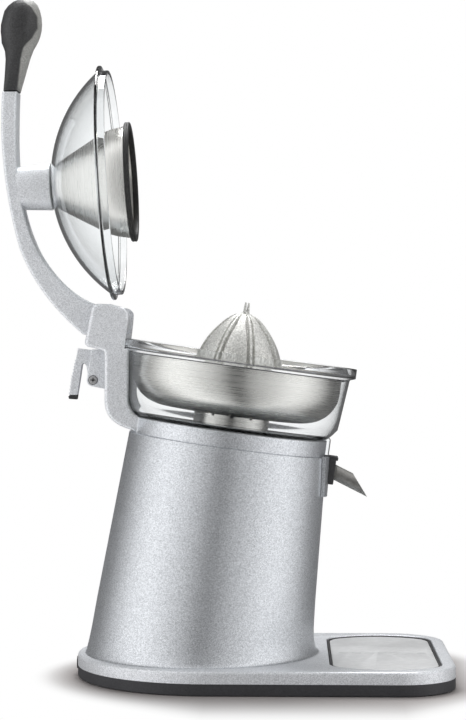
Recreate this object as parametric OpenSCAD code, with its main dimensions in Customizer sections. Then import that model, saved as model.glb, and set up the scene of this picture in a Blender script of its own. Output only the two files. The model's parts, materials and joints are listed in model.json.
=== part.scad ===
// Citrus press juicer: a tilted motor housing on a flat base, a clear bowl with a
// steel strainer, a ribbed reamer turned by a gear train, and a lever arm that
// carries a clear dome and a steel fruit funnel.
// +X is the front, +Z is up, millimetres, standing on Z = 0.

/* [Base] */
// Rearmost point of the base
base_rear_x = -121.5; // [-126:0.5:-116]
// Front edge of the base
base_front_x = 179; // [172:0.5:190]
// Width of the base
base_w = 216; // [208:1:230]
// Radius of the two front corners
base_corner_r = 45; // [30:1:60]
// Height of the black sole band
sole_h = 9.5; // [8:0.5:13]
// Height of the painted base plate above the band
plate_h = 9.6; // [9:0.1:14]
// Wall of the sole and of the base plate
base_wall = 3; // [2.5:0.1:4]
// How far the rubber feet stand below the sole
foot_proud = 0.6; // [0.4:0.1:1]
// Radius of a rubber foot
foot_r = 9; // [7:0.5:12]

/* [Drip tray] */
// Length of the tray recess along X
tray_len = 87.5; // [80:0.5:92]
// Width of the tray recess along Y
tray_w = 190; // [170:1:194]
// Distance from the tray recess to the front edge
tray_front_gap = 10.5; // [8:0.5:14]
// Radius of the curved ends of the tray
tray_end_r = 58; // [52:1:80]
// Depth of the tray recess
tray_depth = 7; // [5:0.5:8]

/* [Body] */
// Forward tilt of the machine axis in degrees
tilt = 7.7; // [7.2:0.1:8.2]
// Where the machine axis meets the floor
axis_foot_x = -25.4; // [-27:0.2:-24]
// Radius of the housing at its top
body_top_r = 80.5; // [79:0.5:82]
// Height of the housing along its axis
body_top_z = 189; // [187:0.5:191]
// Side taper of the housing in degrees
body_taper = 3.3; // [2.6:0.1:3.8]
// Wall of the housing
body_wall = 3; // [2.5:0.1:3.5]
// Thickness of the deck that closes the housing
deck_t = 4; // [3:0.5:5]
// How far the foot of the housing flares out
flare_w = 6; // [4:0.5:8]
// Height of that flare
flare_h = 24; // [18:1:30]

/* [Yoke] */
// Thickness of the seat ring under the bowl
seat_h = 12.8; // [12:0.1:14]
// Outer radius of the seat ring
seat_r = 79; // [78:0.5:80]
// Inner radius of the seat ring
seat_bore_r = 60; // [50:1:66]
// Width of the column and the head
column_w = 60; // [56:1:64]
// How far the column's front face stands ahead of the pivot
column_fore = 20; // [19:0.1:21]
// Thickness of the column from front to rear
column_t = 19.5; // [18:0.1:21]
// How far the head rises above the pivot
head_rise = 12.7; // [11:0.1:14]
// Half width of the apron below the seat ring
apron_half_w = 28; // [24:1:32]
// Length of the apron down the housing
apron_len = 31; // [28:1:36]
// Thickness of the apron
apron_t = 3; // [2:0.1:4]

/* [Bowl and strainer] */
// Height of the bowl from its foot to its rim plane
bowl_h = 60.4; // [59:0.1:62]
// How far the bowl's lip stands out past the strainer's wall
lip_reach = 11.2; // [10.5:0.1:12]
// Height of the bowl's lip
lip_h = 8; // [7:0.5:9]
// Wall of the clear parts
clear_t = 2.2; // [2:0.1:2.5]
// Sheet thickness of the strainer
strainer_t = 1.2; // [1:0.1:1.5]
// Radius of the strainer's side wall
strainer_r = 84.3; // [82:0.1:85]
// Radius of the slotted collar under the strainer
collar_r = 30.5; // [28:0.5:34]
// Number of slots around the collar
collar_slots = 12; // [8:1:16]
// Number of slots in each ring of the strainer floor
floor_slots = 24; // [16:1:28]

/* [Reamer and drive] */
// Height of the reamer's tip above the rim plane
reamer_tip_h = 41.7; // [38:0.1:43]
// Radius of the reamer's skirt
reamer_r = 38; // [36:0.5:40]
// Number of full ribs on the reamer, with a short one between each pair
reamer_ribs = 8; // [6:1:12]
// Width of a rib
rib_w = 2.2; // [1.8:0.1:3.2]
// Depth of the grooves on both sides of a rib
flute_d = 3.4; // [2:0.1:4]
// Width of those grooves
groove_w = 1.8; // [1:0.1:2.5]
// How far the lobes between the grooves stay below the ribs
lobe_inset = 0.8; // [0.4:0.1:1.5]
// Radius of the drive shaft
shaft_r = 6; // [5.5:0.1:6.5]
// Running clearance between a shaft and its hole
run_gap = 0.05; // [0.03:0.01:0.08]
// Module of the first gear pair
first_m = 1.25; // [1.2:0.01:1.3]
// Teeth of the motor pinion
motor_teeth = 16; // [15:1:18]
// Teeth of the large idler wheel
idler_teeth = 44; // [40:1:46]
// Module of the second gear pair
second_m = 1.5; // [1.45:0.01:1.55]
// Teeth of the small idler wheel
small_teeth = 15; // [14:1:16]
// Teeth of the output wheel
output_teeth = 39; // [36:1:40]
// Play between meshing teeth at the pitch circle
backlash = 0.3; // [0.2:0.05:0.4]
// Radius of the motor can
motor_r = 35; // [32:0.5:36]
// Length of the motor can
motor_len = 66; // [55:1:75]

/* [Arm and dome] */
// Opening angle of the arm in degrees
arm_open = 101; // [95:1:103]
// Width of the arm
arm_w = 27; // [24:0.5:28]
// Radius of the arm's hub
hub_r = 12; // [11:0.5:13]
// Radius of the pivot pin
pin_r = 4; // [3.5:0.1:4.5]
// Radius of the boss that carries the dome
boss_r = 17.3; // [16:0.1:18]
// Outer radius of the dome's sphere
dome_r = 115; // [113:0.5:117]
// How far the dome's flange stays inside the bowl's lip
flange_inset = 0.7; // [0.3:0.1:1.5]
// Step from the flange in to the lip below it
dome_lip_step = 4.1; // [3:0.1:5]
// Length of the lip below the flange
dome_lip_h = 8; // [6:0.5:9]
// Sheet thickness of the fruit funnel
funnel_t = 1; // [0.8:0.1:1.4]
// Radius of the funnel's mouth
funnel_r = 45.4; // [44:0.2:47]
// How far the rubber ring stands out from the mouth
ring_out = 3.2; // [2.5:0.1:4.5]

/* [Spout] */
// Outer radius of the spout tube
spout_r = 5.9; // [5.4:0.1:6.2]
// Wall of the spout tube
spout_t = 0.9; // [0.7:0.1:1.2]
// Downward angle of the spout in degrees
spout_drop = 26.9; // [22:0.1:30]
// Width of the black spout collar
spout_collar_w = 24; // [22:0.5:28]

/* [Catch] */
// Width of the catch lever
catch_w = 12; // [10:0.5:14]
// Radius of the catch screw's head
screw_head_r = 3.8; // [3.4:0.1:4.2]

/* [Hidden] */
$fn = 96;

seat_gap = 0.3;         // between pieces that only rest on each other
fit_gap = 0.03;         // between a pressed piece and its hole
eps = 0.01;
far = 400;

base_top_z = sole_h + plate_h;
base_rear_cx = base_rear_x + base_w / 2;
tray_x = base_front_x - tray_front_gap - tray_len / 2;
tray_floor_z = base_top_z - tray_depth;
foot_cx = axis_foot_x + base_top_z * tan(tilt);
deck_z = body_top_z - deck_t;
seat_top_z = body_top_z + seat_h;
bowl_floor_z = seat_top_z + seat_gap;
bowl_in_z = bowl_floor_z + clear_t + 0.8;
rim_z = bowl_floor_z + bowl_h;
lip_r = strainer_r + lip_reach;
flange_r = lip_r - flange_inset;
dome_lip_r = flange_r - dome_lip_step;
ring_r = funnel_r + ring_out;
hex_z = bowl_in_z + 24;

// gear train layout, all shafts parallel to the machine axis
second_cd = second_m * (small_teeth + output_teeth) / 2;
first_cd = first_m * (motor_teeth + idler_teeth) / 2;
motor_dir = -50;
rib_phase = 16.5;
idler_xy = [-second_cd, 0];
motor_xy = idler_xy + first_cd * [cos(motor_dir), sin(motor_dir)];
gear_plate_t = 4;
gear_plate_z = body_top_z - 47;
low_gear_z = gear_plate_z + gear_plate_t + 4;
low_gear_h = 8;
high_gear_z = low_gear_z + low_gear_h + 2;
high_gear_h = 11;
cover_z = high_gear_z + high_gear_h + 3;
cover_t = 3;
post_r = 5;
post_at = 68;
motor_z = gear_plate_z - motor_len;
motor_shaft_r = 3;

// arm pivot in the tilted frame
pivot = [-(flange_r + 16), 0, rim_z + 12.4];
// the funnel and dome hang on the machine axis when the arm is down
flange_z = pivot[2] - 5.8;
dome_cz = flange_z - sqrt(dome_r * dome_r - dome_lip_r * dome_lip_r);
dome_hub_z = dome_cz + dome_r - 0.3;
funnel_top_z = dome_hub_z - 3 - seat_gap;
boss_top_z = pivot[2] + 66;

// spout pivot in the tilted frame
spout_at = [83.5, 0, body_top_z - 9.5];
spout_barrel_r = 6.9;
spout_barrel_w = 15;
spout_top_len = 18.8;
collar_low = spout_at[2] - 11.5;
collar_top = spout_at[2] + 11;
collar_front = 91.5;

// pivot, head and catch in the upright frame
pivot_at = [axis_foot_x + pivot[0] * cos(tilt) + pivot[2] * sin(tilt), 0,
    pivot[2] * cos(tilt) - pivot[0] * sin(tilt)];
column_front_x = pivot_at[0] + column_fore;
column_rear_x = column_front_x - column_t;
head_top_z = pivot_at[2] + head_rise;
catch_at = pivot_at + [-10.2, 0, -48.4];
ear_w = 5.7;
flange_relief_y = 26.5;
pin_near_y = 3 - column_w / 2;
pin_far_y = column_w / 2 + 1.5;
pin_l = pin_far_y - pin_near_y;
pin_mid_y = (pin_far_y + pin_near_y) / 2;
arm_slot_w = arm_w + 0.8;
// the flange comes closest to the pivot where it leaves the slot
flange_near_x = sqrt(flange_r * flange_r - arm_slot_w * arm_slot_w / 4);
flange_relief_r = norm([flange_near_x + pivot[0], flange_z - pivot[2]]) - 0.4;

module tilted() {
    translate([axis_foot_x, 0, 0]) rotate([0, tilt, 0]) children();
}

module arm_place() {
    tilted() translate(pivot) rotate([0, -arm_open, 0]) translate(-pivot) children();
}

// side profile in X and Z, extruded across Y
module across(w) {
    rotate([90, 0, 0]) linear_extrude(height = w, center = true) children();
}

module y_rod(r, w) {
    rotate([90, 0, 0]) cylinder(r = r, h = w, center = true);
}

module ring(r_out, r_in, z0, z1) {
    translate([0, 0, z0]) difference() {
        cylinder(r = r_out, h = z1 - z0);
        translate([0, 0, -1]) cylinder(r = r_in, h = z1 - z0 + 2);
    }
}

function body_r(z) = body_top_r + (body_top_z - z) * tan(body_taper);
function polar(r, a) = [r * cos(a), r * sin(a)];
function arc(c, r, a0, a1, n = 8) = [for (i = [0:n]) c + polar(r, a0 + (a1 - a0) * i / n)];
function bezier(p, n = 12) = [for (i = [0:n]) let (t = i / n, u = 1 - t)
    u * u * u * p[0] + 3 * u * u * t * p[1] + 3 * u * t * t * p[2] + t * t * t * p[3]];

// ---------- base ----------

module base_outline(inset) {
    half = base_w / 2;
    corner_x = base_front_x - base_corner_r;
    translate([base_rear_cx, 0]) circle(r = half - inset);
    translate([base_rear_cx, inset - half]) square([corner_x - base_rear_cx, base_w - 2 * inset]);
    translate([base_rear_cx, base_corner_r - half])
        square([base_front_x - inset - base_rear_cx, base_w - 2 * base_corner_r]);
    for (s = [-1, 1])
        translate([corner_x, s * (half - base_corner_r)]) circle(r = base_corner_r - inset);
}

module tray_outline(inset) {
    end_y = tray_w / 2 - tray_end_r;
    translate([tray_x, 0]) intersection() {
        square([tray_len - 2 * inset, tray_w], center = true);
        union() {
            square([tray_len, 2 * end_y], center = true);
            for (s = [-1, 1]) translate([0, s * end_y]) circle(r = tray_end_r - inset);
        }
    }
}

foot_points = [[base_rear_cx - 70, 0], [base_rear_cx, -84], [base_rear_cx, 84],
    [base_front_x - 32, -68], [base_front_x - 32, 68]];
// screws that hold the sole, the plate and the housing together
base_screw_points = [for (a = [40, 140, 220, 320]) [foot_cx, 0] + polar(81, a)];
base_boss_r = 7;
inlet_r = 5;

module sole() {
    color("#2b2b2d") difference() {
        union() {
            difference() {
                translate([0, 0, foot_proud]) linear_extrude(sole_h - foot_proud) base_outline(0);
                translate([0, 0, foot_proud + base_wall])
                    linear_extrude(sole_h) base_outline(base_wall);
            }
            for (p = foot_points) translate([p[0], p[1], foot_proud])
                cylinder(r = foot_r + 3, h = sole_h - foot_proud);
            for (p = base_screw_points) translate([p[0], p[1], foot_proud])
                cylinder(r = base_boss_r, h = sole_h - foot_proud);
        }
        for (p = foot_points) translate([p[0], p[1], -1])
            cylinder(r = foot_r + fit_gap, h = 1 + foot_proud + 2);
        for (p = base_screw_points) translate([p[0], p[1], -1]) {
            cylinder(r = 2.3, h = far);
            cylinder(r = 4.6, h = foot_proud + 5);
        }
        inlet_hole();
    }
}

// the inlet sits in the split between the sole and the plate
module inlet_hole() {
    translate([base_rear_x - 5, 0, sole_h]) rotate([0, 90, 0]) cylinder(r = inlet_r + fit_gap, h = 14);
}

module rubber_feet() {
    color("#1c1c1d") for (p = foot_points) translate([p[0], p[1], 0])
        cylinder(r = foot_r, h = foot_proud + 2);
}

module base_plate() {
    edge = 1.6;
    color("#b9bcc0") difference() {
        union() {
            translate([0, 0, sole_h]) linear_extrude(plate_h - edge) base_outline(0);
            translate([0, 0, base_top_z - edge]) linear_extrude(edge) base_outline(edge / 2);
        }
        difference() {
            translate([0, 0, sole_h - 1]) linear_extrude(plate_h + 1 - base_wall) base_outline(base_wall);
            linear_extrude(far) tray_outline(-base_wall);
            for (p = base_screw_points) translate(p) cylinder(r = base_boss_r, h = far);
            for (p = foot_points) translate(p) cylinder(r = 4, h = far);
        }
        translate([0, 0, tray_floor_z]) linear_extrude(far) tray_outline(0);
        translate([foot_cx, 0, 0]) cylinder(r = 62, h = far);
        for (p = base_screw_points) translate(p) cylinder(r = 2.3, h = far);
        inlet_hole();
    }
}

module base_screws() {
    color("#8d8f92") for (p = base_screw_points) translate(p) {
        translate([0, 0, foot_proud + 1.6]) cylinder(r = 4, h = 2.4 - fit_gap);
        translate([0, 0, foot_proud + 3]) cylinder(r = 2, h = base_top_z + 8);
    }
}

module power_inlet() {
    color("#202022") translate([base_rear_x - 1, 0, sole_h]) rotate([0, 90, 0]) difference() {
        cylinder(r = inlet_r, h = 9);
        translate([0, 0, -1]) cylinder(r = inlet_r - 1.8, h = 12);
    }
}

// ---------- drip tray ----------

module drip_tray() {
    lift = seat_gap;
    color("#232325") difference() {
        translate([0, 0, tray_floor_z + lift])
            linear_extrude(tray_depth - lift - 0.6) tray_outline(0.5);
        translate([0, 0, tray_floor_z + lift + 1.4]) linear_extrude(far) tray_outline(2.3);
    }
}

module tray_grille() {
    top_z = base_top_z - 1.2;
    color("#a9abad") difference() {
        union() {
            translate([0, 0, top_z - 1.2]) linear_extrude(1.2) tray_outline(2.6);
            for (s = [-1, 1]) translate([tray_x - 1.5, s * 60 - 1.5, tray_floor_z + seat_gap + 1.4])
                cube([3, 3, top_z - tray_floor_z - 2.6 - seat_gap + eps]);
        }
        for (i = [-3:3]) translate([tray_x + i * 10.5 - 3.5, -0.9, 0]) cube([7, 1.8, far]);
    }
}

// ---------- housing ----------

// ring of points where the housing meets a level plane, pushed out by w
function foot_ring(level, w) = let (c = axis_foot_x + level * tan(tilt), r = body_r(level) + w)
    [for (i = [0:71]) [c + (r / cos(tilt)) * cos(5 * i) - 0.4, r * sin(5 * i), level]];

module foot_flare() {
    steps = 6;
    rings = [for (k = [0:steps]) let (a = 90 * k / steps)
        each foot_ring(base_top_z + flare_h * (1 - cos(a)), flare_w * (1 - sin(a)) - eps)];
    n = 72;
    polyhedron(rings, concat([[for (i = [0:n - 1]) i]],
        [for (k = [0:steps - 1], i = [0:n - 1]) let (j = (i + 1) % n)
            each [[k * n + i, (k + 1) * n + i, k * n + j], [k * n + j, (k + 1) * n + i, (k + 1) * n + j]]],
        [[for (i = [n - 1:-1:0]) steps * n + i]]));
}

module body_cone(inset, z0, z1) {
    rotate_extrude() polygon([[0, z0], [body_r(z0) - inset, z0], [body_r(z1) - inset, z1], [0, z1]]);
}

module post_points() {
    for (a = [30:90:300]) rotate(a) translate([post_at, 0, 0]) children();
}

module body_housing() {
    color("#b4b7bb") difference() {
        union() {
            difference() {
                union() {
                    tilted() body_cone(0, -20, body_top_z);
                    foot_flare();
                }
                tilted() body_cone(body_wall, -21, deck_z);
            }
            tilted() intersection() {
                post_points() translate([0, 0, gear_plate_z + gear_plate_t])
                    cylinder(r = post_r, h = deck_z - gear_plate_z - gear_plate_t + eps);
                body_cone(1, 0, body_top_z);
            }
            intersection() {
                for (p = base_screw_points) translate([p[0], p[1], base_top_z])
                    cylinder(r = base_boss_r, h = 16);
                tilted() body_cone(1, -20, 80);
            }
        }
        translate([-far, -far, base_top_z - 2 * far]) cube(2 * far);
        for (p = base_screw_points) translate([p[0], p[1], base_top_z - 1])
            cylinder(r = 2 + fit_gap, h = 13);
        tilted() {
            translate([0, 0, deck_z - 1]) cylinder(r = 13, h = far);
            post_points() translate([0, 0, gear_plate_z]) cylinder(r = 1.5 + fit_gap, h = 20);
            yoke_screw_points() translate([0, 0, deck_z - 1]) cylinder(r = 2.2, h = far);
            translate([body_r(180) - 12, -spout_collar_w / 2 - seat_gap, collar_low - seat_gap])
                cube([30, spout_collar_w + 2 * seat_gap, 40]);
        }
    }
}

// ---------- yoke: seat ring, apron, column and head ----------

module yoke_screw_points() {
    for (a = [60:90:330]) rotate(a) translate([70, 0, 0]) children();
}

// outer outline of the bowl, grown by g
function bowl_outer(g) = let (r = strainer_r + g, z = bowl_floor_z) [
    [r - 6.6, z - g], [r - 2.7, z + 3.4 - g], [r + 2.2, z + 9.5], [r + 3.1, z + 16.7],
    [r + 6.6, rim_z - lip_h - 1.5], [lip_r + g, rim_z - lip_h - g]];

module bowl_way() {
    rotate_extrude() polygon(concat([[0, bowl_floor_z - 0.25]], bowl_outer(0.7),
        [[lip_r + 0.7, far], [0, far]]));
}

module column_outline() {
    foot_z = body_top_z;
    px = pivot_at[0];
    pz = pivot_at[2];
    polygon(concat(
        [[-62, foot_z + 3], [-62, foot_z + 17]],
        bezier([[-62, foot_z + 19.4], [-70, foot_z + 20], [column_front_x, foot_z + 24],
            [column_front_x, foot_z + 34.8]], 8),
        arc([column_front_x - 7, head_top_z - 9.5], 7, 0, 80, 6),
        [[px + 5.4, head_top_z - 0.2], [px - 2.6, head_top_z]],
        arc([px - 4.6, head_top_z - 5.5], 5.5, 90, 170, 5),
        arc([px - 12.2, pz - 18.7], 3.2, 190, 270, 4),
        [[px - 2.6, pz - 24.1]],
        bezier([[column_rear_x - 1, pz - 24.9], [column_rear_x, pz - 25.8], [column_rear_x, pz - 27.3],
            [column_rear_x, pz - 30.3]], 4),
        bezier([[column_rear_x, foot_z + 34], [column_rear_x, foot_z + 19], [-88, foot_z + 14],
            [-77, foot_z + 10.5]], 8)));
}

// cheeks that carry the catch, round at the screw
module ears() {
    root = column_rear_x - catch_at[0] + 1;
    for (s = [-1, 1]) translate(catch_at + [0, s * (catch_w / 2 + seat_gap + ear_w / 2), 0]) across(ear_w)
        polygon(concat([[-1.2, 24.7]], arc([0, 0], 5.2, 165, 262, 8), [[root, -7.5], [root, 24.7]]));
}

module yoke() {
    p = pivot_at;
    color("#b4b7bb") difference() {
        union() {
            across(column_w) column_outline();
            ears();
            tilted() ring(seat_r, seat_bore_r, body_top_z, seat_top_z);
            tilted() intersection() {
                difference() {
                    body_cone(-apron_t, body_top_z - apron_len, body_top_z + 2);
                    body_cone(-seat_gap, 0, body_top_z);
                    cylinder(r = seat_bore_r, h = far);
                }
                translate([0, 0, body_top_z - apron_len]) rotate([90, 0, 90]) linear_extrude(far) union() {
                    translate([0, 18]) intersection() {
                        circle(r = apron_half_w);
                        translate([-far, -18]) square(2 * far);
                    }
                    translate([-apron_half_w, 18]) square([2 * apron_half_w, 40]);
                }
            }
        }
        tilted() bowl_way();
        // below the seat ring the housing keeps its place
        tilted() difference() {
            body_cone(-seat_gap, 100, body_top_z);
            translate([40, -far, 0]) cube(2 * far);
        }
        // slot for the arm, closed at the front below the arm's sweep
        translate([p[0] - far + 14, -arm_slot_w / 2, p[2] - hub_r - 4]) cube([far, arm_slot_w, far]);
        translate([p[0], -arm_slot_w / 2, p[2] - 1]) cube([far, arm_slot_w, far]);
        // the dome's flange swings past the inner corners of the cheeks
        translate(p) across(2 * flange_relief_y) polygon(concat(
            arc([0, 0], flange_relief_r, -38, 96, 9), [[-2, 40], [40, 40], [40, -11]]));
        // the pin goes in from the far side and ends inside the near cheek
        translate(p + [0, pin_mid_y + 2.5, 0]) y_rod(pin_r + fit_gap, pin_l + 5 + 2 * fit_gap);
        translate(catch_at) y_rod(2 + fit_gap, far);
        translate(catch_at - [0, catch_w / 2 + ear_w + seat_gap, 0]) y_rod(screw_head_r + 0.2, 2);
        tilted() {
            yoke_screw_points() cylinder(r = 2 + fit_gap, h = seat_top_z - 3);
            translate([seat_r - 8, -12 - seat_gap, body_top_z - 1]) cube([30, 24 + 2 * seat_gap, far]);
            translate([body_r(180) - 12, -spout_collar_w / 2 - seat_gap, collar_low - seat_gap])
                cube([30, spout_collar_w + 2 * seat_gap, 40]);
        }
    }
}

module yoke_screws() {
    color("#8d8f92") tilted() yoke_screw_points() {
        translate([0, 0, deck_z - 3]) cylinder(r = 3.6, h = 3 - fit_gap);
        translate([0, 0, deck_z - 2]) cylinder(r = 2, h = deck_t + 9);
    }
}

module arm_pivot_pin() {
    color("#9a9c9f") tilted() translate(pivot + [0, pin_mid_y, 0]) y_rod(pin_r, pin_l);
}

module pivot_clips() {
    color("#6f7174") tilted() translate(pivot + [0, column_w / 2 + 0.9, 0]) difference() {
        y_rod(pin_r + 1.8, 1);
        y_rod(pin_r + fit_gap, 4);
    }
}

module catch_lever() {
    thumb = [[-20.2, -15.4], [-17.8, 2], [-14.5, 16.6]];
    ridges = [for (k = [0:1], i = [0:5]) let (p = thumb[k] + (thumb[k + 1] - thumb[k]) * i / 6)
        each [p, p + (thumb[k + 1] - thumb[k]) / 9 + [-0.8, 0]]];
    color("#a9acb0") difference() {
        translate(catch_at) across(catch_w) polygon(concat(
            [[-12.9, 25.5], [-4.8, 24.5], [3.1, 23.5], [4.6, -0.9], [0.6, -4.5], [-3.8, -2.9],
            [-5.9, 11.1], [-7.9, 13.7], [-9.7, 12.5], [-10.9, 4.4], [-12.1, -3.7], [-14.1, -15.8]],
            ridges, [thumb[2]]));
        translate(catch_at) y_rod(2 + run_gap, far);
        translate(catch_at + [0, catch_w / 2 - 2, 0]) y_rod(3.9, 4.1);
    }
}

module catch_screw() {
    color("#8d8f92") difference() {
        translate(catch_at) {
            y_rod(2, catch_w + 2 * ear_w + 0.4);
            translate([0, -(catch_w / 2 + ear_w + seat_gap), 0]) y_rod(screw_head_r, 1.8);
        }
        for (a = [45, 135]) translate(catch_at - [0, catch_w / 2 + ear_w + 1.4, 0])
            rotate([0, a, 0]) cube([5, 1.6, 0.9], center = true);
    }
}

module catch_spring() {
    color("#c0c2c4") translate(catch_at + [0, catch_w / 2 - 3.2, 0]) rotate([-90, 0, 0])
        for (k = [0:2]) translate([0, 0, 0.4 + k * 0.95]) rotate_extrude()
            translate([3.1, 0]) circle(r = 0.4, $fn = 16);
}

// ---------- gear train and motor ----------

function involute_angle(r, rb) = let (t = sqrt(max(0, pow(r / rb, 2) - 1))) t * 180 / PI - atan(t);

// outline of an involute gear with 20 degree pressure angle, tooth 0 on +X
function gear_points(teeth, m) =
    let (rp = teeth * m / 2, rb = rp * cos(20), ra = rp + 0.9 * m, rf = rp - 1.25 * m,
        r0 = max(rb, rf), half = 90 / teeth - backlash / (4 * rp) * 180 / PI,
        flank = [for (i = [0:3]) r0 + (ra - r0) * i / 3],
        w = function (r) half + involute_angle(rp, rb) - involute_angle(max(r, rb), rb))
    [for (k = [0:teeth - 1]) let (a = 360 * k / teeth) each concat(
        [polar(rf, a - w(r0) - 0.2)],
        [for (r = flank) polar(r, a - w(r))],
        [for (i = [3:-1:0]) polar(flank[i], a + w(flank[i]))],
        [polar(rf, a + w(r0) + 0.2)])];

module gear(teeth, m, h) {
    linear_extrude(h) polygon(gear_points(teeth, m));
}

module motor_can() {
    color("#7c7f83") tilted() translate([motor_xy[0], motor_xy[1], motor_z]) difference() {
        union() {
            cylinder(r = motor_r, h = motor_len);
            translate([0, 0, -4]) cylinder(r = 11, h = 5);
        }
        translate([0, 0, 3]) cylinder(r = motor_r - 2, h = motor_len - 6);
        translate([0, 0, -5]) cylinder(r = 8 + fit_gap, h = 8.5);
        translate([0, 0, motor_len - 3.5]) cylinder(r = 8 + fit_gap, h = 5);
        for (a = [0:60:300]) rotate(a + 30) translate([motor_r - 6, -2, 14])
            cube([12, 4, motor_len - 28]);
        for (a = [motor_dir, motor_dir + 180]) rotate(a) translate([26, 0, motor_len - 5])
            cylinder(r = 1.5 + fit_gap, h = 10);
    }
}

module motor_screws() {
    color("#8d8f92") tilted() translate([motor_xy[0], motor_xy[1], gear_plate_z + gear_plate_t])
        for (a = [motor_dir, motor_dir + 180]) rotate(a) translate([26, 0, 0]) {
            translate([0, 0, fit_gap]) cylinder(r = 2.8, h = 1.8);
            translate([0, 0, -gear_plate_t - 2.5]) cylinder(r = 1.5, h = gear_plate_t + 3);
        }
}

module motor_bearings() {
    color("#c4c6c8") tilted() translate([motor_xy[0], motor_xy[1], motor_z])
        for (z = [-2, motor_len - 3]) ring(8, motor_shaft_r + run_gap, z, z + 5);
}

module motor_stator() {
    color("#a8743f") tilted() translate([motor_xy[0], motor_xy[1], motor_z])
        ring(motor_r - 2 - fit_gap, 24.7, 13, motor_len - 13);
}

module rotor() {
    color("#8a6b4d") tilted() translate([motor_xy[0], motor_xy[1], motor_z]) {
        translate([0, 0, 12]) cylinder(r = 24, h = motor_len - 24);
        translate([0, 0, -1.5]) cylinder(r = motor_shaft_r, h = low_gear_z + low_gear_h - motor_z + 1.5);
    }
}

module motor_pinion() {
    color("#b08d57") tilted() translate([motor_xy[0], motor_xy[1], low_gear_z]) difference() {
        rotate(motor_dir + 180 + 180 / motor_teeth) gear(motor_teeth, first_m, low_gear_h);
        translate([0, 0, -1]) cylinder(r = motor_shaft_r + fit_gap, h = low_gear_h + 2);
    }
}

module gear_plate() {
    color("#85888c") tilted() difference() {
        translate([0, 0, gear_plate_z]) cylinder(r = post_at + post_r + 1.5, h = gear_plate_t);
        translate([0, 0, gear_plate_z - 1]) cylinder(r = shaft_r + 3, h = far);
        translate([idler_xy[0], idler_xy[1], gear_plate_z - 1]) cylinder(r = 3 + fit_gap, h = far);
        translate([motor_xy[0], motor_xy[1], gear_plate_z - 1]) {
            cylinder(r = 8.6, h = far);
            for (a = [motor_dir, motor_dir + 180]) rotate(a) translate([26, 0, 0]) cylinder(r = 1.7, h = far);
        }
        post_points() translate([0, 0, gear_plate_z - 1]) cylinder(r = 1.7, h = far);
        leg_points() translate([0, 0, gear_plate_z - 1]) cylinder(r = 1.7, h = far);
    }
}

module leg_points() {
    for (a = [20, 100, 310]) rotate(a) translate([56, 0, 0]) children();
}

module gear_cover() {
    low = gear_plate_z + gear_plate_t;
    color("#8f9296") tilted() difference() {
        union() {
            translate([0, 0, cover_z]) cylinder(r = 61, h = cover_t);
            leg_points() translate([0, 0, low]) cylinder(r = 4, h = cover_z - low + 1);
        }
        translate([0, 0, cover_z - 1]) cylinder(r = shaft_r + 3, h = far);
        translate([idler_xy[0], idler_xy[1], cover_z - 1]) cylinder(r = 3 + fit_gap, h = far);
        leg_points() translate([0, 0, low - 1]) cylinder(r = 1.5 + fit_gap, h = 12);
    }
}

module gearbox_screws() {
    color("#8d8f92") tilted() {
        leg_points() plate_screw();
        post_points() plate_screw();
    }
}

module plate_screw() {
    translate([0, 0, gear_plate_z - 2]) cylinder(r = 2.8, h = 2 - fit_gap);
    translate([0, 0, gear_plate_z - 1]) cylinder(r = 1.5, h = gear_plate_t + 9);
}

module idler_pin() {
    color("#9a9c9f") tilted() translate([idler_xy[0], idler_xy[1], gear_plate_z])
        cylinder(r = 3, h = cover_z + cover_t - gear_plate_z);
}

module idler_gear() {
    low = gear_plate_z + gear_plate_t + seat_gap;
    color("#e4e0d2") tilted() translate([idler_xy[0], idler_xy[1], 0]) difference() {
        union() {
            translate([0, 0, low]) cylinder(r = 8, h = high_gear_z - low + 1);
            translate([0, 0, low_gear_z]) rotate(motor_dir) gear(idler_teeth, first_m, low_gear_h);
            translate([0, 0, high_gear_z]) rotate(180 / small_teeth)
                gear(small_teeth, second_m, high_gear_h);
        }
        cylinder(r = 3 + run_gap, h = far);
    }
}

module shaft_bushes() {
    color("#b08d57") tilted() for (z = [gear_plate_z, cover_z])
        ring(shaft_r + 3 - fit_gap, shaft_r + run_gap, z, z + 4 + cover_t - 3);
}

module drive_shaft() {
    color("#c4c6c8") tilted() {
        translate([0, 0, gear_plate_z + 0.5]) cylinder(r = shaft_r, h = hex_z - gear_plate_z - 0.5);
        translate([0, 0, hex_z - eps]) cylinder(r = shaft_r - 0.6, h = 22, $fn = 6);
    }
}

module output_gear() {
    color("#e4e0d2") tilted() difference() {
        union() {
            translate([0, 0, high_gear_z]) rotate(180) gear(output_teeth, second_m, high_gear_h);
            translate([0, 0, high_gear_z - 1.5]) cylinder(r = 10, h = high_gear_h);
        }
        cylinder(r = shaft_r + fit_gap, h = far);
    }
}

module shaft_seal() {
    color("#1c1c1d") tilted() ring(13 - fit_gap, shaft_r + run_gap, deck_z, body_top_z + 3);
}

// ---------- bowl, spout and strainer ----------

neck_w = 20;

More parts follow.
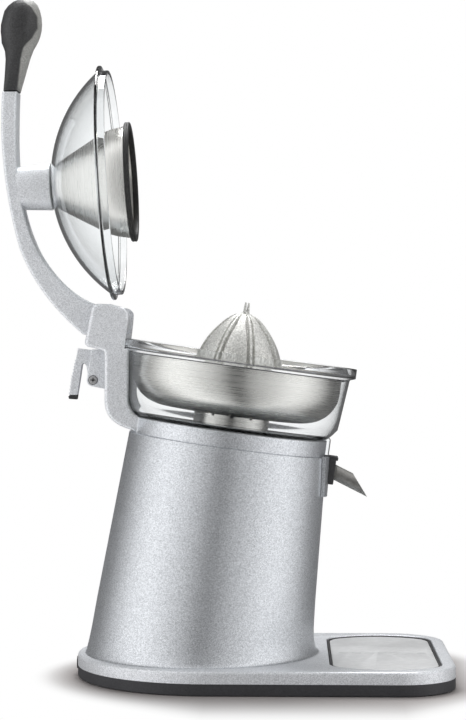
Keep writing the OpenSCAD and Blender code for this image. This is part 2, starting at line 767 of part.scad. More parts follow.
module bowl() {
    outer = bowl_outer(0);
    hub_top = bowl_in_z + 20;
    lip_in = dome_lip_r + 1.4;
    color("#dfe6ea", 0.35) tilted() difference() {
        union() {
            rotate_extrude() polygon(concat(
                [[shaft_r + 2, bowl_floor_z]], outer, [[lip_r, rim_z], [lip_in, rim_z],
                [lip_in, rim_z - lip_h + clear_t], [outer[4][0] - clear_t, rim_z - lip_h - 1],
                [outer[3][0] - clear_t, outer[3][1]], [outer[2][0] - clear_t - 0.3, outer[2][1] + 1.5],
                [outer[0][0] + 1, bowl_in_z], [shaft_r + 5, bowl_in_z],
                [shaft_r + 4.4, hub_top], [shaft_r + 2, hub_top]]));
            translate([seat_r - 7, -neck_w / 2, collar_top - 4]) cube([10, neck_w, bowl_floor_z - collar_top + 8]);
        }
        translate([seat_r - 5.4, -neck_w / 2 + 1.6, collar_top - 8]) cube([6.8, neck_w - 3.2, far - collar_top]);
    }
}

module spout_collar() {
    rear = body_r(spout_at[2]) - 4;
    slot_w = 2 * spout_r + 1.4;
    color("#202022") tilted() difference() {
        union() {
            translate([rear, -spout_collar_w / 2, collar_low])
                cube([collar_front - rear, spout_collar_w, collar_top - collar_low]);
            translate([rear, -spout_collar_w / 2, collar_top - 3]) cube([collar_front - rear + 1.4, spout_collar_w, 3]);
        }
        // well that takes the bowl's neck
        translate([seat_r - 7.5, -neck_w / 2 - 0.4, spout_at[2] + 6]) cube([11, neck_w + 0.8, 20]);
        translate(spout_at) y_rod(spout_barrel_r + 0.3, spout_barrel_w + 0.8);
        translate(spout_at + [-5, -slot_w / 2, 0]) cube([5, slot_w, 10]);
        translate(spout_at) across(slot_w) polygon([[-2, -7], polar(30, -32), polar(30, 28), [-2, 7]]);
        translate(spout_at) y_rod(2 + fit_gap, far);
    }
}

module spout_tube() {
    color("#c8cacc") tilted() translate(spout_at) difference() {
        union() {
            y_rod(spout_barrel_r, spout_barrel_w);
            spout_axis() cylinder(r = spout_r, h = 40);
        }
        spout_axis() translate([0, 0, -12]) cylinder(r = spout_r - spout_t, h = 60);
        translate([-20, -3.4, 1]) cube([20, 6.8, 20]);
        y_rod(2 + run_gap, far);
        // oblique cut at the mouth
        spout_axis() across(20) polygon([[-8, spout_top_len - 3.2], [8, spout_top_len + 22.5], [8, 90], [-8, 90]]);
    }
}

module spout_axis() {
    rotate([0, 90 + spout_drop - tilt, 0]) children();
}

module spout_pivot() {
    color("#9a9c9f") tilted() translate(spout_at) for (s = [-1, 1])
        translate([0, s * (spout_collar_w / 2 - 3.2), 0]) y_rod(2, 6);
}

// half section of the strainer sheet, from the rim to the centre
function strainer_outer(g) = concat(
    [[strainer_r - g, rim_z - 12.2], [strainer_r - g, rim_z - 20.7]],
    arc([strainer_r - 28, rim_z - 21.7], 28 - g, 0, -80, 8),
    [[47, rim_z - 49.4 + g], [16, rim_z - 49.7 + g]]);

module strainer() {
    rim_r = strainer_r + 3.9;
    outer = strainer_outer(0);
    inner = strainer_outer(strainer_t);
    last = len(inner) - 1;
    floor_z = rim_z - 49.7;
    color("#b9bbbd") tilted() difference() {
        union() {
            rotate_extrude() polygon(concat(
                [[rim_r, rim_z - 11], [rim_r, rim_z - 12.2]], outer,
                [[16, floor_z - 2], [14.8, floor_z - 2], [14.8, floor_z + 12], [16, floor_z + 12]],
                [for (i = [last:-1:0]) inner[i]], [[strainer_r - strainer_t, rim_z - 11]]));
            ring(collar_r, collar_r - strainer_t, bowl_in_z + seat_gap, floor_z + 0.6);
        }
        for (a = [0:360 / floor_slots:359]) rotate(a) {
            translate([41, -0.8, floor_z - 4]) cube([12, 1.6, 8]);
            translate([57, -0.8, floor_z - 4]) cube([9, 1.6, 9]);
        }
        for (a = [0:360 / collar_slots:359]) rotate(a + 2)
            translate([collar_r - 4, -1.6, bowl_in_z + 1.6]) cube([8, 3.2, 3]);
    }
}

// envelope of the reamer in radius and height above the rim plane
function reamer_outer(g) = concat(
    bezier([[reamer_r - g, -36], [reamer_r - 0.5 - g, -12], [reamer_r - 1.2 - g, 5],
        [reamer_r - 20 - g, 24]], 8),
    bezier([[reamer_r - 21 - g, 25], [12 - g, 30], [8 - g * 0.6, 32], [3, reamer_tip_h - 8]], 4));

// line that the short ribs follow until they sink into the lobes
function short_rib_outer() = bezier([[reamer_r - 0.1, -36], [reamer_r - 0.4, -14], [reamer_r - 3, -2],
    [reamer_r - 13, 12]], 8);

module ribs(turn) {
    for (i = [0:reamer_ribs - 1]) rotate(rib_phase + (i + turn) * 360 / reamer_ribs)
        translate([0, -rib_w / 2, -36]) cube([reamer_r + 1, rib_w, 80]);
}

// wedges between the grooves that run along each full rib
module lobes() {
    half = 180 / reamer_ribs;
    apex = (rib_w / 2 + groove_w) / sin(half);
    for (i = [0:reamer_ribs - 1]) rotate(rib_phase + (i + 0.5) * 360 / reamer_ribs)
        translate([apex, 0, -36]) linear_extrude(62) polygon([[0, 0], polar(60, half), polar(60, -half)]);
}

module reamer() {
    skirt_low = -39;
    boss_low = hex_z + seat_gap - rim_z;
    color("#c6c8ca") tilted() translate([0, 0, rim_z]) difference() {
        union() {
            rotate_extrude() polygon(concat([[0, -36]], reamer_outer(flute_d), [[0, reamer_tip_h - 8]]));
            intersection() {
                rotate_extrude() polygon(concat([[0, -36]], reamer_outer(0), [[0, reamer_tip_h - 8]]));
                ribs(0);
            }
            intersection() {
                rotate_extrude() polygon(concat([[0, -36]], reamer_outer(lobe_inset), [[0, reamer_tip_h - 8]]));
                lobes();
            }
            intersection() {
                rotate_extrude() polygon(concat([[0, -36]], short_rib_outer(), [[0, 12]]));
                ribs(0.5);
            }
            ring(reamer_r + 0.6, 20, skirt_low, -35.9);
            for (a = [0:120:240]) rotate(a) translate([1.7, 0, 32]) cylinder(r1 = 1.5, r2 = 0.7, h = reamer_tip_h - 32);
        }
        difference() {
            translate([0, 0, skirt_low - 1]) cylinder(r1 = 33, r2 = 22, h = 42);
            translate([0, 0, boss_low]) cylinder(r = 11, h = 60);
        }
        translate([0, 0, boss_low - 1]) cylinder(r = shaft_r - 0.6 + 0.35, h = 27, $fn = 6);
    }
}

// ---------- arm, dome and funnel ----------

// side outline of the arm about its pivot, with the arm down
module arm_outline() {
    outer = concat(
        bezier([[189.1, 72.7], [158, 77.2], [112, 77.5], [63, 66.5]], 12),
        bezier([[61, 65.9], [36, 58], [12, 43], [-10.5, 18.9]], 10));
    inner = concat(
        bezier([[14.1, 10.1], [20, 24], [34, 39], [56.3, 50.6]], 10),
        bezier([[60, 52.3], [96, 67], [134, 66.5], [188.4, 61.1]], 12));
    union() {
        polygon(concat(outer, [[-hub_r * 0.9, 6], [0, 0], [hub_r * 0.8, 0]], inner));
        circle(r = hub_r);
    }
}

module arm() {
    bar = arm_w;
    color("#b4b7bb") arm_place() difference() {
        union() {
            translate(pivot) across(bar) arm_outline();
            translate([0, 0, dome_hub_z]) cylinder(r1 = boss_r + 1.9, r2 = boss_r, h = boss_top_z - dome_hub_z);
            translate(pivot + [185, 0, 67.4]) rotate([0, 99.5, 0]) cylinder(r = 4, h = 26);
        }
        translate(pivot) y_rod(pin_r + run_gap, far);
        translate([0, 0, dome_hub_z - 1]) cylinder(r = 3 + fit_gap, h = 22);
    }
}

module handle_grip() {
    knob = pivot + [243.6, 0, 56.3];
    color("#232325") arm_place() difference() {
        union() {
            hull() {
                translate(pivot + [189.6, 0, 66.8]) rotate([0, 90, 0]) scale([1, 1, 1])
                    linear_extrude(0.5) square([11.4, 26], center = true);
                translate(pivot + [224, 0, 61]) rotate([0, 90, 0]) linear_extrude(1) circle(r = 10, $fn = 32);
            }
            hull() for (dx = [-5.5, 5.5], dy = [-5, 5])
                translate(knob + [dx, dy, -dx * 0.28]) sphere(r = 15, $fn = 32);
        }
        translate(pivot + [185, 0, 67.4]) rotate([0, 99.5, 0]) cylinder(r = 4 + fit_gap, h = 26.6);
    }
}

module dome_cover() {
    hub_low = dome_hub_z - 3;
    hub_hole = 4;
    inner_r = dome_r - clear_t;
    a0 = asin((flange_z - dome_cz) / dome_r);
    color("#dfe6ea", 0.35) arm_place() rotate_extrude() polygon(concat(
        [[dome_lip_r, flange_z - dome_lip_h], [dome_lip_r, flange_z - clear_t], [flange_r, flange_z - clear_t],
        [flange_r, flange_z]],
        arc([0, dome_cz], dome_r, a0, acos((boss_r + 1) / dome_r), 14),
        [[hub_hole, dome_hub_z - seat_gap], [hub_hole, hub_low], [20, hub_low]],
        arc([0, dome_cz], inner_r, acos(24 / inner_r), a0, 14),
        [[dome_lip_r - clear_t, flange_z - 1], [dome_lip_r - clear_t, flange_z - dome_lip_h]]));
}

module fruit_funnel() {
    top = funnel_top_z;
    t = funnel_t;
    waist_r = funnel_r - 2.9;
    color("#b9bbbd") arm_place() rotate_extrude() polygon([
        [4, top], [18, top], [waist_r, flange_z - 2.5], [funnel_r, flange_z - 18],
        [funnel_r, flange_z - 20], [funnel_r - t, flange_z - 20], [funnel_r - t, flange_z - 17.9],
        [waist_r - t, flange_z - 2.8], [17.4, top - t], [4, top - t]]);
}

module funnel_ring() {
    mid = flange_z - 20.2;
    color("#1c1c1d") arm_place() difference() {
        ring(ring_r, funnel_r - funnel_t - 1.6, mid - 2.2, mid + 2.2);
        ring(funnel_r + fit_gap, funnel_r - funnel_t - fit_gap, mid - 0.2, mid + 5);
    }
}

module funnel_screw() {
    top = funnel_top_z;
    color("#c4c6c8") arm_place() {
        translate([0, 0, top - funnel_t - 2 - fit_gap]) cylinder(r = 6.5, h = 2);
        translate([0, 0, top - funnel_t - 1]) cylinder(r = 3, h = 20);
    }
}

sole();
rubber_feet();
base_plate();
base_screws();
power_inlet();
body_housing();
yoke();
yoke_screws();
arm_pivot_pin();
pivot_clips();
catch_lever();
catch_screw();
catch_spring();
motor_can();
motor_screws();
motor_bearings();
motor_stator();
rotor();
motor_pinion();
gear_plate();
gear_cover();
gearbox_screws();
idler_pin();
idler_gear();
shaft_bushes();
drive_shaft();
output_gear();
shaft_seal();
bowl();
spout_collar();
spout_tube();
spout_pivot();
strainer();
reamer();
arm();
handle_grip();
dome_cover();
fruit_funnel();
funnel_ring();
funnel_screw();
drip_tray();
tray_grille();
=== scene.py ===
# Citrus press juicer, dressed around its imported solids. Sizes are in millimetres until a mesh is made.
import bpy
import bmesh
import json
import math
from functools import partial
from mathutils import Matrix, Vector


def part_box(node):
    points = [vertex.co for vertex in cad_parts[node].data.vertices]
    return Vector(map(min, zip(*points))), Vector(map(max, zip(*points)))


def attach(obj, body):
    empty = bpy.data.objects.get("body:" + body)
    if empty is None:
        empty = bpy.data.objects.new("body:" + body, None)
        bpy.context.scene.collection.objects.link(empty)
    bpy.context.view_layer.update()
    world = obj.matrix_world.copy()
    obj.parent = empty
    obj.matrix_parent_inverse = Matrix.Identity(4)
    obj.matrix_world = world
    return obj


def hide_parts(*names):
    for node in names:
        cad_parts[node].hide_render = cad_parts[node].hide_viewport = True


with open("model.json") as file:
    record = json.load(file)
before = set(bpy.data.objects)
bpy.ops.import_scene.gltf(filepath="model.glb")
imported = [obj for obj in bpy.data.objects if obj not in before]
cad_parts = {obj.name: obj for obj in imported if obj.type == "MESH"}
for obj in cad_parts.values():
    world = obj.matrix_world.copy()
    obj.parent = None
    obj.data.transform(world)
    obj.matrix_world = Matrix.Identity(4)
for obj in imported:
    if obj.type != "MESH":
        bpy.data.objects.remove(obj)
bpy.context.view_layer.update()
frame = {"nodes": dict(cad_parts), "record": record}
mm = 0.001
jointOf = {j["name"]: j for j in frame["record"]["behaviour"]["joints"]}


def jointPlace(name):
    return Vector(jointOf[name]["pos_m"]) / mm


def nodeBox(node):
    lo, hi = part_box(node)
    return Vector(lo) / mm, Vector(hi) / mm


def addObject(name, data):
    made = bpy.data.objects.new(name, data)
    bpy.context.collection.objects.link(made)
    return made


def aim(thing, at, target):
    thing.location = Vector(at)
    thing.rotation_euler = (Vector(target) - Vector(at)).to_track_quat("-Z", "Y").to_euler()


cameraSet = {"at": (50, -1650, 264), "lookAt": (4, 0, 255), "focal": 101.8}


def makeCamera():
    data = bpy.data.cameras.new("pressCamera")
    data.lens = cameraSet["focal"]
    camera = addObject("pressCamera", data)
    aim(camera, Vector(cameraSet["at"]) * mm, Vector(cameraSet["lookAt"]) * mm)
    bpy.context.scene.camera = camera


makeCamera()
print("camera ready")

# what stands on the leaning machine axis is built upright round Z and then tilted
machineAxis = Vector(jointOf["shaft_spin"]["axis"])
tilt = math.atan2(machineAxis.x, machineAxis.z)
shaftPoint = jointPlace("shaft_spin")
axisFoot = shaftPoint - machineAxis * (shaftPoint.z / machineAxis.z)
tilted = Matrix.Translation(axisFoot) @ Matrix.Rotation(tilt, 4, "Y")
untilted = tilted.inverted()
# the arm and all on it are built closed, over the bowl, and then swung open
pivotWorld = jointPlace("arm_swing")
pivot = untilted @ pivotWorld
armOpen = math.radians(jointOf["arm_swing"]["range_deg"][0])
armPlace = tilted @ Matrix.Translation(pivot) @ Matrix.Rotation(armOpen, 4, "Y") @ Matrix.Translation(-pivot)
spoutLocal = untilted @ jointPlace("spout_flip")
catchWorld = jointPlace("catch_press")


def addNode(tree, kind, values=None, **settings):
    node = tree.nodes.new("ShaderNode" + kind)
    for key, value in settings.items():
        setattr(node, key, value)
    for key, value in (values or {}).items():
        node.inputs[key].default_value = value
    return node


def calc(tree, operation, a, b=None, clamp=False):
    node = addNode(tree, "Math", operation=operation, use_clamp=clamp)
    for socket, value in zip(node.inputs, (a, b)):
        if isinstance(value, (int, float)):
            socket.default_value = value
        elif value is not None:
            tree.links.new(value, socket)
    return node.outputs[0]


def spread(tree, value, low, high, toLow=0.0, toHigh=1.0):
    limits = {"From Min": low, "From Max": high, "To Min": toLow, "To Max": toHigh}
    node = addNode(tree, "MapRange", limits)
    tree.links.new(value, node.inputs["Value"])
    return node.outputs["Result"]


def mixColour(tree, factor, first, second):
    node = addNode(tree, "Mix", data_type="RGBA")
    for name, kind, value in (("Factor", "VALUE", factor), ("A", "RGBA", first), ("B", "RGBA", second)):
        socket = next(s for s in node.inputs if s.name == name and s.type == kind)
        if hasattr(value, "links"):
            tree.links.new(value, socket)
        else:
            socket.default_value = value
    return next(s for s in node.outputs if s.type == "RGBA")


def mixShader(tree, factor, first, second):
    node = addNode(tree, "MixShader")
    for value, socket in zip((factor, first, second), node.inputs):
        tree.links.new(value, socket)
    return node.outputs[0]


def greyRamp(tree, value, stops, blue=1.0):
    # each stop is a place from 0 to 1 and how light it is there
    ramp = addNode(tree, "ValToRGB")
    elements = ramp.color_ramp.elements
    while len(elements) < len(stops):
        elements.new(0.5)
    for element, (place, grey) in zip(elements, stops):
        element.position = place
        element.color = (grey, grey, grey * blue, 1)
    tree.links.new(value, ramp.inputs["Fac"])
    return ramp.outputs["Color"]


def newEffect(name):
    # a node group that turns a place, a scale and two colours into colour, roughness and height
    group = bpy.data.node_groups.new(name, "ShaderNodeTree")
    sides = {"INPUT": {"Vector": "Vector", "Scale": "Float", "Dark": "Color", "Light": "Color"},
             "OUTPUT": {"Color": "Color", "Roughness": "Float", "Height": "Float"}}
    for side, sockets in sides.items():
        for label, kind in sockets.items():
            group.interface.new_socket(label, in_out=side, socket_type="NodeSocket" + kind)
    return group, group.nodes.new("NodeGroupInput").outputs, group.nodes.new("NodeGroupOutput")


def endEffect(group, source, sink, amount, roughness, height):
    # amount runs from the dark colour to the light one
    colour = mixColour(group, amount, source["Dark"], source["Light"])
    for value, socket in zip((colour, roughness, height), sink.inputs):
        group.links.new(value, socket)
    return group


def makeSparkle():
    # metallic flakes in paint: fine grains of light and dark with a soft orange peel
    group, source, sink = newEffect("sparkleFlakes")
    link, do = group.links.new, partial(calc, group)
    grain = addNode(group, "TexNoise", {"Detail": 2.0, "Roughness": 0.7})
    flake = addNode(group, "TexVoronoi", feature="F1")
    peel = addNode(group, "TexNoise", {"Scale": 45.0, "Detail": 2.0})
    for node in (grain, flake, peel):
        link(source["Vector"], node.inputs["Vector"])
    for node in (grain, flake):
        link(source["Scale"], node.inputs["Scale"])
    cell = addNode(group, "SeparateColor")
    link(flake.outputs["Color"], cell.inputs["Color"])
    grains = grain.outputs["Fac"]
    summed = do("ADD", do("MULTIPLY", cell.outputs["Red"], 0.55), do("MULTIPLY", grains, 0.5))
    amount = spread(group, summed, 0.22, 0.85)
    roughness = spread(group, cell.outputs["Green"], 0.0, 1.0, 0.3, 0.5)
    height = do("ADD", do("MULTIPLY", grains, 0.6), do("MULTIPLY", peel.outputs["Fac"], 0.4))
    return endEffect(group, source, sink, amount, roughness, height)


def makeBrush():
    # brushing that runs round the machine axis: noise read along radius and height only
    group, source, sink = newEffect("roundBrushing")
    link, do = group.links.new, partial(calc, group)
    split = addNode(group, "SeparateXYZ")
    link(source["Vector"], split.inputs[0])
    x, y, z = split.outputs
    joint = addNode(group, "CombineXYZ")
    link(do("SQRT", do("ADD", do("POWER", x, 2.0), do("POWER", y, 2.0))), joint.inputs["X"])
    link(do("MULTIPLY", do("ARCTAN2", y, x), 0.0006), joint.inputs["Y"])
    link(z, joint.inputs["Z"])
    lines = addNode(group, "TexNoise", {"Detail": 3.0, "Roughness": 0.6})
    link(joint.outputs[0], lines.inputs["Vector"])
    link(source["Scale"], lines.inputs["Scale"])
    smear = addNode(group, "TexNoise", {"Scale": 18.0, "Detail": 2.0})
    link(source["Vector"], smear.inputs["Vector"])
    height = lines.outputs["Fac"]
    roughness = do("ADD", spread(group, height, 0.3, 0.7, 0.2, 0.34),
                   spread(group, smear.outputs["Fac"], 0.3, 0.7, -0.02, 0.05))
    return endEffect(group, source, sink, spread(group, height, 0.3, 0.7), roughness, height)


def makeGrain():
    # moulded grain: small pits and lumps with a little wear in tone
    group, source, sink = newEffect("mouldedGrain")
    link = group.links.new
    grain = addNode(group, "TexNoise", {"Detail": 3.0, "Roughness": 0.6})
    wear = addNode(group, "TexNoise", {"Scale": 30.0, "Detail": 2.0})
    for node in (grain, wear):
        link(source["Vector"], node.inputs["Vector"])
    link(source["Scale"], grain.inputs["Scale"])
    height = grain.outputs["Fac"]
    roughness = spread(group, wear.outputs["Fac"], 0.3, 0.7, 0.42, 0.6)
    return endEffect(group, source, sink, spread(group, height, 0.35, 0.68), roughness, height)


effects = {"sparkle": makeSparkle(), "brush": makeBrush(), "grain": makeGrain()}


def newMaterial(name, shader):
    material = bpy.data.materials.new(name)
    material.use_nodes = True
    surface = material.node_tree.nodes["Principled BSDF"]
    for key, value in shader.items():
        surface.inputs[key].default_value = value
    return material, material.node_tree, surface


def showSurface(tree, shader):
    tree.links.new(shader, tree.nodes["Material Output"].inputs["Surface"])


def finished(name, effect, scale, dark, light, shader, bump, place=None):
    material, tree, surface = newMaterial(name, shader)
    vector = addNode(tree, "TexCoord").outputs["Object"]
    if place is not None:
        turn = {"Location": place.translation * mm, "Rotation": place.to_euler()}
        turned = addNode(tree, "Mapping", turn, vector_type="TEXTURE")
        tree.links.new(vector, turned.inputs["Vector"])
        vector = turned.outputs["Vector"]
    values = {"Scale": scale, "Dark": (*dark, 1), "Light": (*light, 1)}
    look = addNode(tree, "Group", values, node_tree=effects[effect])
    tree.links.new(vector, look.inputs["Vector"])
    relief = addNode(tree, "Bump", {"Strength": bump[0], "Distance": bump[1] * mm})
    tree.links.new(look.outputs["Color"], surface.inputs["Base Color"])
    tree.links.new(look.outputs["Roughness"], surface.inputs["Roughness"])
    tree.links.new(look.outputs["Height"], relief.inputs["Height"])
    tree.links.new(relief.outputs["Normal"], surface.inputs["Normal"])
    return material


def clearPlastic(name, tint, bend):
    shader = {"Base Color": (*tint, 1), "Roughness": 0.03, "IOR": bend, "Transmission Weight": 1.0}
    material, tree, surface = newMaterial(name, shader)
    # light passes to what lies behind the clear wall
    path = addNode(tree, "LightPath").outputs
    passing = addNode(tree, "BsdfTransparent", {"Color": (0.93, 0.94, 0.94, 1)})
    lit = calc(tree, "MAXIMUM", path["Is Shadow Ray"], path["Is Diffuse Ray"])
    showSurface(tree, mixShader(tree, lit, surface.outputs[0], passing.outputs[0]))
    return material


paint = {"Metallic": 0.92, "Coat Weight": 0.15, "Coat Roughness": 0.15}
castPaint = {"Metallic": 0.4, "Coat Weight": 0.1, "Coat Roughness": 0.2}
steel = {"Metallic": 1.0}
dull = {"Specular IOR Level": 0.3}
finishes = {
    # material, effect and its scale, dark and light colour, surface, bump strength and depth, place
    "paint": ("silverPaint", "sparkle", 2300, (0.385, 0.40, 0.42), (0.885, 0.91, 0.94), paint, (0.2, 0.12)),
    "castPaint": ("castingPaint", "sparkle", 2000, (0.50, 0.515, 0.54), (0.90, 0.92, 0.95), castPaint,
                  (0.3, 0.15)),
    "spunSteel": ("spunSteel", "brush", 1500, (0.60, 0.587, 0.555), (0.74, 0.728, 0.695), steel,
                  (0.04, 0.06), tilted),
    "funnelSteel": ("funnelSteel", "brush", 1500, (0.60, 0.59, 0.565), (0.76, 0.75, 0.72), steel,
                    (0.04, 0.06), armPlace),
    "plainSteel": ("plainSteel", "grain", 300, (0.45, 0.45, 0.45), (0.62, 0.62, 0.62), steel, (0.05, 0.05)),
    # near-black steel that paints shade on the strainer's rim and on the screw head's rim and cross
    "paintedShadeSteel": ("paintedShadeSteel", "grain", 500, (0.07, 0.07, 0.075), (0.13, 0.13, 0.14), {"Metallic": 0.9},
                  (0.1, 0.1)),
    "tubeSteel": ("tubeSteel", "grain", 300, (0.26, 0.255, 0.24), (0.36, 0.355, 0.34), steel, (0.05, 0.05)),
    "trayBrush": ("trayBrush", "grain", 160, (0.50, 0.505, 0.51), (0.56, 0.565, 0.57), {"Metallic": 0.2},
                  (0.05, 0.1)),
    "castReamer": ("castReamer", "grain", 700, (0.46, 0.46, 0.44), (0.84, 0.84, 0.81), {"Metallic": 0.7},
                   (0.3, 0.35)),
    "grip": ("gripPlastic", "grain", 900, (0.006, 0.006, 0.006), (0.034, 0.034, 0.036),
             {"Specular IOR Level": 0.7}, (0.7, 0.4)),
    "black": ("blackPlastic", "grain", 800, (0.018, 0.018, 0.019), (0.035, 0.035, 0.037),
              {"Specular IOR Level": 0.5}, (0.2, 0.15)),
    "band": ("soleBand", "grain", 800, (0.034, 0.034, 0.037), (0.046, 0.046, 0.05), dull, (0.1, 0.1)),
    "rubber": ("rubber", "grain", 600, (0.012, 0.012, 0.012), (0.03, 0.03, 0.03), dull, (0.2, 0.15)),
    "gear": ("gearPlastic", "grain", 500, (0.70, 0.67, 0.58), (0.80, 0.77, 0.68), {}, (0.1, 0.1)),
    "brass": ("brassBush", "grain", 400, (0.55, 0.40, 0.17), (0.72, 0.55, 0.26), steel, (0.05, 0.05)),
    "copper": ("copperWire", "brush", 900, (0.40, 0.18, 0.08), (0.72, 0.36, 0.18), {"Metallic": 0.9},
               (0.3, 0.3), tilted),
    "can": ("motorSteel", "grain", 300, (0.16, 0.165, 0.17), (0.24, 0.245, 0.25), {"Metallic": 0.6},
            (0.1, 0.1)),
}
materials = {use: finished(*row) for use, row in finishes.items()}
materials["clear"] = clearPlastic("clearPlastic", (0.97, 0.985, 0.99), 1.45)
materials["bowlClear"] = clearPlastic("bowlPlastic", (0.975, 0.985, 0.99), 1.25)
print("materials ready")


def arc(centre, radius, start, end, steps):
    return [(centre[0] + radius * math.cos(math.radians(start + (end - start) * i / steps)),
             centre[1] + radius * math.sin(math.radians(start + (end - start) * i / steps)))
            for i in range(steps + 1)]


def curve(points, steps):
    result = []
    for i in range(steps + 1):
        t = i / steps
        weights = ((1 - t) ** 3, 3 * t * (1 - t) ** 2, 3 * t * t * (1 - t), t ** 3)
        result.append(tuple(sum(w * p[k] for w, p in zip(weights, points)) for k in (0, 1)))
    return result


def lift(height):
    return Matrix.Translation((0, 0, height))


def bevel(bm, geom, width, segments, affect):
    bmesh.ops.bevel(bm, geom=geom, offset=width, offset_type="OFFSET", affect=affect, segments=segments,
                    profile=0.5, material=-1, clamp_overlap=True)


def outlineFace(bm, points, plane="XZ"):
    # a face with this outline, where a point's third number is the radius of that corner
    place = {"XZ": lambda a, b: (a, 0, b), "XY": lambda a, b: (a, b, 0)}[plane]
    verts = [bm.verts.new(place(*p[:2])) for p in points]
    bm.faces.new(verts)
    for radius in sorted({p[2] for p in points if len(p) > 2}):
        corners = [v for v, p in zip(verts, points) if len(p) > 2 and p[2] == radius]
        bevel(bm, corners, radius, 4, "VERTICES")


def spun(points, steps=144):
    # closed half section in radius and height, turned round Z
    bm = bmesh.new()
    outlineFace(bm, points)
    bmesh.ops.delete(bm, geom=list(bm.faces), context="FACES_ONLY")
    onAxis = [e for e in bm.edges if all(abs(v.co.x) < 1e-4 for v in e.verts)]
    bmesh.ops.delete(bm, geom=onAxis, context="EDGES")
    bmesh.ops.spin(bm, geom=list(bm.verts) + list(bm.edges), cent=(0, 0, 0), axis=(0, 0, 1),
                   angle=2 * math.pi, steps=steps, use_merge=True, use_duplicate=False)
    bmesh.ops.remove_doubles(bm, verts=bm.verts, dist=1e-3)
    bmesh.ops.recalc_face_normals(bm, faces=bm.faces)
    return bm


def rod(radius, low, high, steps):
    return spun([(0, low), (radius, low), (radius, high), (0, high)], steps)


def roundCap(bm, cap, rounding, steps):
    # quarter round from the side to the cap in even insets, and one narrow ring that keeps the cap flat
    inset = partial(bmesh.ops.inset_region, bm, faces=[cap], use_even_offset=True, use_boundary=True)
    for k in range(steps):
        low, high = math.pi / 2 * k / steps, math.pi / 2 * (k + 1) / steps
        inset(thickness=rounding * (math.cos(low) - math.cos(high)),
              depth=rounding * (math.sin(high) - math.sin(low)))
    inset(thickness=0.25, depth=0)


def pushed(points, depth, plane="XZ", rounding=0.0, steps=4):
    # outline pushed to a block of that depth, centred for XZ and upwards for XY, both rims rounded over
    bm = bmesh.new()
    outlineFace(bm, points, plane)
    step = Vector((0, 1, 0)) if plane == "XZ" else Vector((0, 0, 1))
    grown = bmesh.ops.extrude_face_region(bm, geom=list(bm.faces), use_keep_orig=True)
    raised = [g for g in grown["geom"] if isinstance(g, bmesh.types.BMVert)]
    bmesh.ops.translate(bm, vec=step * (depth - 2 * rounding), verts=raised)
    bmesh.ops.translate(bm, vec=step * (rounding - (depth / 2 if plane == "XZ" else 0)), verts=bm.verts)
    bmesh.ops.recalc_face_normals(bm, faces=bm.faces)
    if rounding:
        for cap in [f for f in bm.faces if abs(f.normal.dot(step)) > 0.9]:
            roundCap(bm, cap, rounding, steps)
    return bm


def softenEdges(bm, width, segments, where=None, angle=60):
    sharp = [e for e in bm.edges if len(e.link_faces) == 2 and e.calc_face_angle(0) > math.radians(angle)
             and (where is None or where(e))]
    bevel(bm, sharp, width, segments, "EDGES")


def above(height):
    return lambda edge: all(v.co.z > height for v in edge.verts)


def growRing(bm, ring):
    # a new ring of points on from the last one, in the same order
    last = set(ring)
    edges = [e for e in bm.edges if all(v in last for v in e.verts)]
    grown = bmesh.ops.extrude_edge_only(bm, edges=edges)["geom"]
    fresh = {g for g in grown if isinstance(g, bmesh.types.BMVert)}
    return [next(e.other_vert(v) for e in v.link_edges if e.other_vert(v) in fresh) for v in ring]


def closeRing(bm, ring):
    last = set(ring)
    bmesh.ops.contextual_create(bm, geom=[e for e in bm.edges if all(v in last for v in e.verts)])


def meshOf(bm, name):
    mesh = bpy.data.meshes.new(name)
    bm.to_mesh(mesh)
    bm.free()
    return mesh


def boolean(bm, other, operation="DIFFERENCE"):
    # exact boolean of two bmeshes, result as a new bmesh
    base, second = addObject("cutBase", meshOf(bm, "cutBase")), addObject("cutTool", meshOf(other, "cutTool"))
    modifier = base.modifiers.new("cut", "BOOLEAN")
    modifier.operation = operation
    modifier.solver = "EXACT"
    modifier.object = second
    evaluated = base.evaluated_get(bpy.context.evaluated_depsgraph_get())
    result = bmesh.new()
    result.from_mesh(evaluated.to_mesh())
    for item in (base, second):
        mesh = item.data
        bpy.data.objects.remove(item)
        bpy.data.meshes.remove(mesh)
    bmesh.ops.remove_doubles(result, verts=result.verts, dist=2e-3)
    bmesh.ops.dissolve_degenerate(result, edges=result.edges, dist=2e-3)
    return result


def cutBy(bm, *cutters):
    for cutter in cutters:
        bm = boolean(bm, cutter)
    return bm


def joined(*parts):
    # several bmeshes in one, left as separate shells
    result = bmesh.new()
    for part in parts:
        mesh = meshOf(part, "joining")
        result.from_mesh(mesh)
        bpy.data.meshes.remove(mesh)
    return result


def moved(bm, matrix):
    bmesh.ops.transform(bm, matrix=matrix, verts=bm.verts)
    return bm


def block(low, high):
    bm = bmesh.new()
    bmesh.ops.create_cube(bm, size=1)
    bmesh.ops.scale(bm, vec=Vector(high) - Vector(low), verts=bm.verts)
    bmesh.ops.translate(bm, vec=(Vector(high) + Vector(low)) / 2, verts=bm.verts)
    return bm


def yRod(centre, radius, width, steps=48):
    bm = bmesh.new()
    bmesh.ops.create_cone(bm, cap_ends=True, segments=steps, radius1=radius, radius2=radius, depth=width)
    bmesh.ops.rotate(bm, cent=(0, 0, 0), matrix=Matrix.Rotation(math.pi / 2, 3, "X"), verts=bm.verts)
    bmesh.ops.translate(bm, vec=centre, verts=bm.verts)
    return bm


